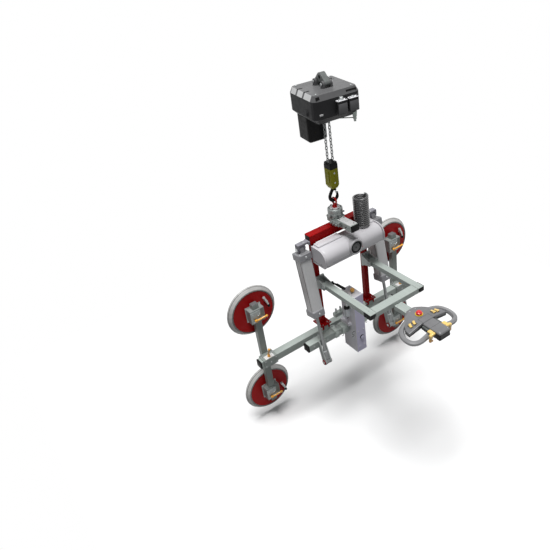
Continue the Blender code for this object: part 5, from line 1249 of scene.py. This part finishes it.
class LIFTER_OT_valve_box(bpy.types.Operator):
    """Adds the box's screws, port, knob collar, side hook and side filter, and the manifold's fittings."""

    bl_idname = "lifter.valve_box"
    bl_label = "Valve box"

    def execute(self, context):
        self.box_details()
        self.side_filter()
        self.manifold()
        return {"FINISHED"}

    def box_details(self):
        """Screws, the port with its bush, the knob's collar and the cable hook on the left side."""
        top = high("valve_box").z
        screws = box_shape("valve_box_screws", "white_and_highlight_paint")
        for x in (-0.019, 0.021):
            for z in (-1.463, -1.578):
                screws.screw((x, BOX_FRONT, z), FRONT, 0.0040, 0.0022)
        screws.screw((-0.022, -0.128, top), UP, 0.0030, 0.0018)
        screws.screw((0.022, -0.034, top), UP, 0.0030, 0.0018)
        screws.finished("valve_box")
        port = box_shape("valve_box_port", "black_plastic")
        port.spun(((0.0080, 0.0005), (0.0088, 0.0020), (0.0132, 0.0020), (0.0145, 0.0006), (0.0145, -0.0040),
                   (0.0080, -0.0040), (0.0080, 0.0005)), BOX_PORT, FRONT, 32)
        port.finished("chain_container")
        bush = box_shape("valve_box_bush", "bright_steel")
        bush.spun(((0.0034, 0.0), (0.0034, 0.0012), (0.0078, 0.0012), (0.0078, -0.0030), (0.0034, -0.0030),
                   (0.0034, 0.0)), BOX_PORT, FRONT, 24)
        bush.finished("manifold")
        collar = box_shape("box_knob_collar", "machined_metal")
        collar.spun(((0.0062, 0.0), (0.0100, 0.0), (0.0100, 0.0030), (0.0082, 0.0042), (0.0062, 0.0042),
                     (0.0062, 0.0)), (0, -0.090, top + 0.0001), UP, 24)
        collar.post(-0.012, -0.100, top - 0.0002, top + 0.007, 0.0030, 10)
        collar.finished("manifold")
        hook = box_shape("box_side_hook", "dark_steel")
        bends = ((-0.035, -1.462), (-0.046, -1.460), (-0.053, -1.466), (-0.053, -1.476), (-0.046, -1.481),
                 (-0.042, -1.486), (-0.047, -1.493), (-0.054, -1.492))
        hook.tube([(x, -0.124, z) for x, z in bends], 0.0018, 8)
        hook.finished("valve_block")

    def side_filter(self):
        """The filter with a clear bowl on the box's left side, in its bracket."""
        x, y, z = -0.0545, -0.094, -1.312
        bowl = box_shape("side_filter_bowl", "clear_bowl")
        bowl.spun(((0, -0.046), (0.0080, -0.045), (0.0125, -0.040), (0.0140, -0.030), (0.0140, 0.020),
                   (0, 0.020)), (x, y, z), UP, 32)
        bowl.finished("vacuum_filter")
        ring = box_shape("side_filter_ring", "black_plastic")
        ring.spun(((0.0141, 0.016), (0.0166, 0.018), (0.0166, 0.030), (0.0120, 0.036), (0, 0.036), (0, 0.021),
                   (0.0141, 0.021), (0.0141, 0.016)), (x, y, z), UP, 32)
        ring.spun(((0.0030, -0.0445), (0.0060, -0.0455), (0.0060, -0.0520), (0, -0.0520)), (x, y, z), UP, 16)
        ring.finished("chain_container")
        bracket = box_shape("side_filter_bracket", "bright_steel")
        bracket.block((-0.0400, -0.0350), around(y, 0.014), (z + 0.012, z + 0.040))
        bracket.block((-0.0600, -0.0352), around(y, 0.009), (z + 0.0355, z + 0.0400))
        bracket.post(x, y, z + 0.039, z + 0.048, 0.0070, 6, 0.0006)
        bracket.finished("manifold")

    def manifold(self):
        """Push-in fittings on the manifold and a ring round the filter."""
        first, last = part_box("manifold")
        fittings = box_shape("push_in_fittings", "bright_steel")
        y = (first.y + last.y) / 2
        for index in range(4):
            x = first.x + 0.130 * (index + 0.5) / 4
            fittings.post(x, y, last.z - 0.004, last.z + 0.004, 0.0072, 6, 0.0005)
            fittings.rod((x, y, last.z + 0.003), (x, y + 0.004, last.z + 0.012), 0.0052, 14, rounding=0.0006)
        for x in (-0.072, -0.006):
            fittings.screw((x, first.y, -1.381), FRONT, 0.0036)
        fittings.finished("manifold")
        rings = box_shape("filter_rings", "black_plastic")
        centre = middle("vacuum_filter")
        rings.spun(((0.0162, 0), (0.0170, 0.001), (0.0170, 0.006), (0.0162, 0.007), (0.0162, 0)),
                   (centre.x, centre.y, high("vacuum_filter").z - 0.014))
        rings.finished("chain_container")


class LIFTER_OT_pads(bpy.types.Operator):
    """Adds the hub plates, levers, valves and bolts of the four pads and the two sleeves."""

    bl_idname = "lifter.pads"
    bl_label = "Pads and arms"

    def execute(self, context):
        for name, side in SIDES:
            for level in ("upper", "lower"):
                self.hub(level + "_" + name, side * ARM_X)
                self.lever(level + "_" + name, side * ARM_X)
                self.valve(level + "_" + name, side * ARM_X)
            self.sleeve(name, side * ARM_X)
        return {"FINISHED"}

    def faces(self, place):
        """The front of the pad's hub, the face of its plate, and the height of its middle."""
        node = "pad_holder_" + place
        return low(node).y, high(node).y - 0.010, middle("pad_seal_" + place).z

    def hub(self, place, x):
        """The plates on the pad's hub, their bolts and a short pipe on the front one."""
        front, back, z = self.faces(place)
        hub = Shape("hub_plate_" + place, "pad_" + place, "machined_metal")
        hub.block(around(x, 0.052), (back - 0.0045, back - 0.0003), around(z, 0.050), 0.0020)
        hub.block((x - 0.047, x + 0.018), (front - 0.0035, front + 0.001), around(z, 0.038), 0.0015)
        hub.block((x - 0.014, x + 0.030), (front - 0.0080, front + 0.001), (z - 0.030, z - 0.012), 0.0020)
        hub.finished("manifold")
        bolts = Shape("pad_bolts_" + place, "pad_" + place, "bright_steel")
        for across, rise in corners(0.045, 0.043):
            bolts.bolt((x + across, back - 0.0043, z + rise), FRONT, 0.0042, 0.0040)
        for rise in around(0, 0.026):
            bolts.screw((x - 0.034, front - 0.0035, z + rise), FRONT, 0.0040)
        bends = ((-0.012, 0.020), (-0.002, 0.006), (0.012, 0.016))
        bolts.tube([(x + across, front - 0.005, z + rise) for across, rise in bends], 0.0022, 8)
        bolts.finished("piston_rod_left")

    def lever(self, place, x):
        """The orange lever bar on its pivot disc, with a round end."""
        front, _, z = self.faces(place)
        lever = Shape("pad_lever_" + place, "pad_" + place, "orange_plastic")
        bar = sizes().lever_bar
        bends = ((-0.022, -0.0135, -0.017), (0.010, -0.0135, -0.017), (0.018, -0.0150, -0.0145),
                 (0.046, -0.0155, -0.014))
        path = [(x + across, front + out, z + rise) for across, out, rise in bends]
        lever.tube(path, bar, 12)
        start = (x - 0.022, z - 0.017)
        lever.rod((start[0], front - 0.0195, start[1]), (start[0], front - 0.0075, start[1]), 0.0088,
                  rounding=0.0012)
        lever.ball(path[-1], bar * 1.45)
        lever.finished("clamp_lever_left")

    def valve(self, place, x):
        """The shut-off valve on the pad's plate: rows of start, end, radius, sides and rounding."""
        _, back, z = self.faces(place)
        across, rise = (0.084, 0.046) if place.startswith("upper") else (0.092, -0.026)
        spot = Vector((x + across, back - 0.0002, z + rise))
        valve = Shape("pad_valve_" + place, "pad_" + place, "bright_steel")
        for start, end, radius, sides, rounding in (
            ((0, 0, 0), (0, -0.010, 0), 0.0095, 6, 0.0008),
            ((0, -0.009, 0), (0, -0.024, 0), 0.0072, 18, 0.0008),
            ((0.003, -0.018, -0.008), (-0.011, -0.018, 0.026), 0.0072, 18, 0.0010),
            ((-0.009, -0.018, 0.021), (-0.013, -0.018, 0.031), 0.0088, 6, 0.0008),
            ((0.003, -0.018, -0.008), (0.010, -0.017, -0.030), 0.0062, 18, 0.0008),
        ):
            valve.rod(spot + Vector(start), spot + Vector(end), radius, sides, rounding=rounding)
        valve.finished("piston_rod_left")
        plug = Shape("pad_valve_sleeve_" + place, "pad_" + place, "black_plastic")
        plug.rod(spot + Vector((0.009, -0.017, -0.028)), spot + Vector((0.013, -0.0165, -0.046)), 0.0078, 18,
                 rounding=0.0010)
        plug.finished("chain_container")

    def sleeve(self, name, x):
        """Bolts, studs and the strip of the sleeve on the cross beam, and the clamp lever's knob."""
        top = CROSS_BEAM_Z[1] + 0.0066
        front = CROSS_BEAM_Y[0] - 0.0066
        bolts = Shape("sleeve_bolts_" + name, "arm_" + name, "bright_steel")
        for across in around(x, 0.036):
            bolts.bolt((across, 0.100, top), UP, 0.0048, 0.0045)
            for z in (-1.545, -1.507):
                bolts.screw((across, front, z), FRONT, 0.0038)
            bolts.post(across, 0.112, top - 0.002, top + 0.016, 0.0030, 10)
        bolts.screw((x, front, -1.526), FRONT, 0.0046)
        bolts.finished("piston_rod_" + name)
        plate = Shape("sleeve_plate_" + name, "arm_" + name, "pale_plate_and_highlight_paint")
        plate.block(around(x, 0.030), (0.064, 0.096), (top - 0.0005, top + 0.0003), 0.0003, 1)
        plate.finished("pad_arm_" + name)
        knobs = Shape("lever_knobs_" + name, "clamp_" + name, "orange_plastic")
        knobs.ball((x, 0.060, high("clamp_lever_" + name).z - 0.003), 0.0078)
        knobs.finished("clamp_lever_" + name)


# Handle frame and controls

class LIFTER_OT_handle(bpy.types.Operator):
    """Adds the handle frame's screws and seams, joint discs, bracket bolts and lock lever tip."""

    bl_idname = "lifter.handle"
    bl_label = "Handle frame"

    def execute(self, context):
        self.frame_details()
        for name, side in SIDES:
            self.joint(name, side)
        self.lock_lever()
        return {"FINISHED"}

    def frame_details(self):
        """Screws and seams of the handle frame."""
        screws = Shape("handle_screws", "handle", "bright_steel")
        seams = Shape("handle_seams", "handle", "seam_black_and_recess_shade")
        for side in MIRROR:
            for y in (-0.452, -0.428):
                screws.screw((side * JOINT_X, y, HANDLE_TOP), UP, 0.0030, 0.0010)
            for y in (-0.480, -0.535):
                screws.screw((side * 0.018, y, -1.087), UP, 0.0030)
            seams.block((side * 0.1436, side * 0.1444), (-0.4652, -0.4148),
                        (HANDLE_TOP - 0.001, HANDLE_TOP + 0.0002), 0.0001, 1)
        screws.screw((0, -0.4652, -1.079), FRONT, 0.0040)
        seams.block(around(0, 0.0268), (-0.4660, -0.4652), (-1.0985, -1.086), 0.0002, 1)
        screws.finished("handle_frame")
        seams.finished("handle_frame")

    def joint(self, name, side):
        """The discs of the handle's joint, left out where the lock lever sits, and the bracket's bolts."""
        discs = Shape("joint_discs_" + name, "frame", "machined_metal")
        for end in (-1,) if name == "left" else MIRROR:
            discs.spun(((0, 0.0068), (0.0070, 0.0068), (0.0078, 0.0044), (0.0160, 0.0044), (0.0175, 0.0028),
                        (0.0175, -0.0004), (0, -0.0004)),
                       (side * JOINT_X + end * 0.0266, JOINT_Y, JOINT_Z), (end, 0, 0), 36)
        discs.finished("handle_bracket_" + name)
        bolts = Shape("bracket_bolts_" + name, "frame", "bright_steel")
        for across, rise in corners(0.012, 0.030):
            bolts.bolt((side * JOINT_X + across, -0.0282, JOINT_Z + rise), FRONT, 0.0038, 0.0040)
        bolts.finished("handle_bracket_" + name)

    def lock_lever(self):
        """The lever's thick black tip and the cap of its pivot."""
        tip = Shape("lock_lever_tip", "lock_lever", "black_plastic")
        tip.tube([(-0.1225, -0.118, -1.0795), (-0.1205, -0.140, -1.0800), (-0.1172, -0.160, -1.0818),
                  (-0.1152, -0.172, -1.0828)], 0.0078, 14)
        tip.ball((-0.1150, -0.1725, -1.0829), 0.0079)
        tip.head((high("frame_lock_lever").x - 0.0130, JOINT_Y, JOINT_Z), (1, 0, 0),
                 0.0080, 0.0068, 0.0016, 0.0004, 0.0006, 20)
        tip.finished("frame_lock_lever")


class LIFTER_OT_controls(bpy.types.Operator):
    """Adds the housing's lines, stop ring, button frames and caps, lower shell, triggers and screws."""

    bl_idname = "lifter.controls"
    bl_label = "Control handle"

    def execute(self, context):
        self.stop_button()
        self.button_frames()
        self.housing()
        self.buttons()
        self.triggers()
        self.screws()
        return {"FINISHED"}

    def stop_button(self):
        """The dished ring round the stop button and the raised ring on its dome."""
        ring = Shape("stop_ring", "handle", "stop_yellow")
        ring.spun(((0.0100, 0.0002), (0.0194, 0.0002), (0.0200, 0.0010), (0.0198, 0.0038), (0.0190, 0.0046),
                   (0.0180, 0.0046), (0.0172, 0.0038), (0.0170, 0.0009), (0.0100, 0.0009), (0.0100, 0.0002)),
                  (0, STOP_Y, HOUSING_TOP - 0.0004), UP, 36)
        ring.finished("emergency_stop")
        dome = Shape("stop_arrow_ring", "emergency_stop", "stop_red")
        dome.spun(((0.0030, 0.0), (0.0110, -0.0006), (0.0118, 0.0004), (0.0110, 0.0012), (0.0034, 0.0018),
                   (0, 0.0020), (0, 0.0)), (0, STOP_Y, high("emergency_stop").z - 0.0004), UP, 30)
        dome.finished("emergency_stop")

    def button_frames(self):
        """Four thin bars round each button, lying on the housing's slope."""
        frames = Shape("button_frames", "handle", "seam_black_and_recess_shade")
        for _, side, _, x in BUTTONS:
            z = slope_height(x)
            turn = Matrix.Rotation(side * math.atan(HOUSING_SLOPE), 4, "Y")
            for end in MIRROR:
                level = z - end * side * 0.0016
                frames.block(around(side * x + end * 0.0071, 0.0008), (-0.6582, -0.6318),
                             (level - 0.0010, level + 0.0008), 0.0004, 2, turn)
            for y in (-0.6580, -0.6320):
                frames.block(around(side * x, 0.0076), around(y, 0.0008),
                             (z - 0.0010, z + 0.0008), 0.0004, 2, turn)
        frames.finished("control_housing")

    def housing(self):
        """The lines of the housing's covers and the lower shell of its near end."""
        lines = Shape("housing_lines", "handle", "seam_black_and_recess_shade")
        rows = [(around(x, 0.0005), (-0.672, -0.640), HOUSING_TOP) for x in around(0, 0.034)]
        rows.append((around(0, 0.034), (-0.6406, -0.6396), HOUSING_TOP))
        rows.append((around(0, 0.033), (-0.7235, -0.7225), POD_TOP))
        for x, y, level in rows:
            lines.block(x, y, (level - 0.0006, level + 0.0002), 0.0001, 1)
        lines.finished("control_housing")
        shell = Shape("pod_lower_shell", "handle", "black_plastic")
        base = low("control_housing").z
        shell.block(around(0, 0.0364), (-0.7850, -0.7600), (base - 0.0004, base + 0.016), 0.006, 4)
        shell.block(around(0, 0.0345), (-0.7550, -0.6800), (base - 0.0004, base + 0.006), 0.003, 3)
        shell.finished("control_housing")
    def buttons(self):
        """A rounded cap on each button's stem, turned towards the hand."""
        for name, side, spot, x in BUTTONS:
            body = "button_" + name + "_" + spot
            turn = (Matrix.Rotation(side * math.atan(HOUSING_SLOPE), 4, "Y")
                    @ Matrix.Rotation(side * math.radians(28), 4, "Z"))
            z = slope_height(x) + 0.0048
            cap = Shape(body + "_cap", body, "cream_plastic")
            cap.block(around(side * (x + 0.0010), 0.0060), (-0.6575, -0.6325),
                      (z - 0.0008, z + 0.0027), 0.0014, 3, turn)
            cap.finished(body)

    def triggers(self):
        """Each trigger: a dark arm, a rounded cream head in front of the grip and an orange finger tab."""
        for name, side in SIDES:
            body = "trigger_" + name
            arm = Shape("trigger_arm_" + name, body, "dark_steel")
            arm.block((side * 0.0372, side * 0.0478), (-0.7460, -0.6785), (-1.0905, -1.0842), 0.0020)
            arm.rod((side * 0.0374, -0.6835, -1.0868), (side * 0.0486, -0.6835, -1.0868), 0.0046, 18,
                    rounding=0.0008)
            arm.finished(body, (body,))
            for piece, finish, rows in TRIGGER_BLOCKS:
                shape = Shape(piece + name, body, finish)
                for (start, end), y, z, rounding, segments in rows:
                    shape.block((side * start, side * end), y, z, rounding, segments)
                shape.finished(body)

    def screws(self):
        screws = Shape("housing_screws", "handle", "bright_steel")
        for x in around(0, 0.026):
            screws.screw((x, -0.774, POD_TOP), UP, 0.0026, 0.0012)
            screws.screw((x * 0.7, -0.570, HOUSING_TOP), UP, 0.0026, 0.0012)
        screws.finished("control_housing")


# Stage

class LIFTER_OT_stage(bpy.types.Operator):
    """Sets up the pale floor, the plain light and the camera."""

    bl_idname = "lifter.stage"
    bl_label = "Stage, light and camera"

    def execute(self, context):
        scene = context.scene
        mesh = bmesh.new()
        bmesh.ops.create_grid(mesh, x_segments=1, y_segments=1, size=FLOOR_HALF)
        bmesh.ops.translate(mesh, vec=(0.1, 0.1, CAD_BOX[0][2] - FLOOR_DROP), verts=mesh.verts)
        data = bpy.data.meshes.new("floor")
        mesh.to_mesh(data)
        mesh.free()
        floor = bpy.data.objects.new("floor", data)
        scene.collection.objects.link(floor)
        data.materials.append(self.floor_finish())
        self.light(scene)
        self.camera(scene)
        scene.view_settings.view_transform = "Standard"
        return {"FINISHED"}

    def seen_directly(self, tree):
        """A value of 1 for rays that come from the camera, a mirror or a glass."""
        path = tree.nodes.new("ShaderNodeLightPath")
        total = path.outputs["Is Camera Ray"]
        for name in ("Is Glossy Ray", "Is Transmission Ray"):
            either = tree.nodes.new("ShaderNodeMath")
            either.operation = "MAXIMUM"
            tree.links.new(total, either.inputs[0])
            tree.links.new(path.outputs[name], either.inputs[1])
            total = either.outputs[0]
        return total

    def floor_finish(self):
        """A matt floor that is seen almost white, with the object's shadow, and throws little light back."""
        made = bpy.data.materials.new("floor_paint")
        made.use_nodes = True
        tree = made.node_tree
        shader = tree.nodes["Principled BSDF"]
        mix = tree.nodes.new("ShaderNodeMix")
        mix.data_type = "RGBA"
        mix.inputs[6].default_value = (*shaded(colours().floor, FLOOR_BOUNCE), 1.0)
        mix.inputs[7].default_value = (*colours().floor, 1.0)
        tree.links.new(self.seen_directly(tree), mix.inputs[0])
        tree.links.new(mix.outputs[2], shader.inputs["Base Color"])
        shader.inputs["Roughness"].default_value = 0.9
        shader.inputs["Specular IOR Level"].default_value = 0.1
        return made

    def light(self, scene):
        """White where it is seen directly, a soft glow for all other rays, and one wide sun."""
        world = bpy.data.worlds.new("studio")
        scene.world = world
        world.use_nodes = True
        tree = world.node_tree
        tree.nodes.clear()
        out = tree.nodes.new("ShaderNodeOutputWorld")
        mix = tree.nodes.new("ShaderNodeMixShader")
        tree.links.new(self.seen_directly(tree), mix.inputs[0])
        for socket, (rgb, strength) in enumerate((((0.96, 0.98, 1.0), GLOW), ((1.0, 1.0, 1.0), 1.0)), 1):
            background = tree.nodes.new("ShaderNodeBackground")
            background.inputs["Color"].default_value = (*rgb, 1.0)
            background.inputs["Strength"].default_value = strength
            tree.links.new(background.outputs[0], mix.inputs[socket])
        tree.links.new(mix.outputs[0], out.inputs["Surface"])
        sun_data = bpy.data.lights.new("key", "SUN")
        sun_data.energy = SUN_STRENGTH
        sun_data.angle = SUN_WIDTH
        sun = bpy.data.objects.new("key", sun_data)
        sun.rotation_euler = Vector(SUN_FROM).to_track_quat("Z", "Y").to_euler()
        scene.collection.objects.link(sun)

    def camera(self, scene):
        """The photograph's view of the machine."""
        lens = bpy.data.cameras.new("camera")
        lens.lens = 37.12
        lens.sensor_width = 36.0
        lens.clip_end = 60.0
        camera = bpy.data.objects.new("camera", lens)
        camera.matrix_world = Matrix.Translation(CAMERA_PLACE) @ Matrix(CAMERA_AXES).to_4x4()
        scene.collection.objects.link(camera)
        scene.camera = camera


class LIFTER_PT_panel(bpy.types.Panel):
    """The lifter's steps, sizes and colours in the sidebar."""

    bl_idname = "LIFTER_PT_panel"
    bl_label = "Vacuum glass lifter"
    bl_space_type = "VIEW_3D"
    bl_region_type = "UI"
    bl_category = "Lifter"

    def draw(self, context):
        for operator in STEPS:
            self.layout.operator(operator.bl_idname)
        for group in (context.scene.lifter_sizes, context.scene.lifter_colours):
            box = self.layout.box()
            for name in group.__annotations__:
                box.prop(group, name)


class LIFTER_OT_finishes(bpy.types.Operator):
    """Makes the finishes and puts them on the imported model's nodes."""

    bl_idname = "lifter.finishes"
    bl_label = "Finishes"

    def execute(self, context):
        make_finishes()
        dress_cad_nodes()
        return {"FINISHED"}


STEPS = (
    LIFTER_OT_stage, LIFTER_OT_finishes, LIFTER_OT_hose, LIFTER_OT_hoist, LIFTER_OT_hook, LIFTER_OT_head,
    LIFTER_OT_end_caps, LIFTER_OT_vacuum_unit, LIFTER_OT_cylinders, LIFTER_OT_pad_frame, LIFTER_OT_valve_box,
    LIFTER_OT_pads, LIFTER_OT_handle, LIFTER_OT_controls,
)
CLASSES = (LifterColours, LifterSizes, *STEPS, LIFTER_PT_panel)


def register():
    for cls in CLASSES:
        bpy.utils.register_class(cls)
    bpy.types.Scene.lifter_colours = PointerProperty(type=LifterColours)
    bpy.types.Scene.lifter_sizes = PointerProperty(type=LifterSizes)


def unregister():
    del bpy.types.Scene.lifter_sizes
    del bpy.types.Scene.lifter_colours
    for cls in reversed(CLASSES):
        bpy.utils.unregister_class(cls)


def main():
    register()
    for step in STEPS:
        group, action = step.bl_idname.split(".")
        getattr(getattr(bpy.ops, group), action)()


if __name__ == "__main__":
    main()
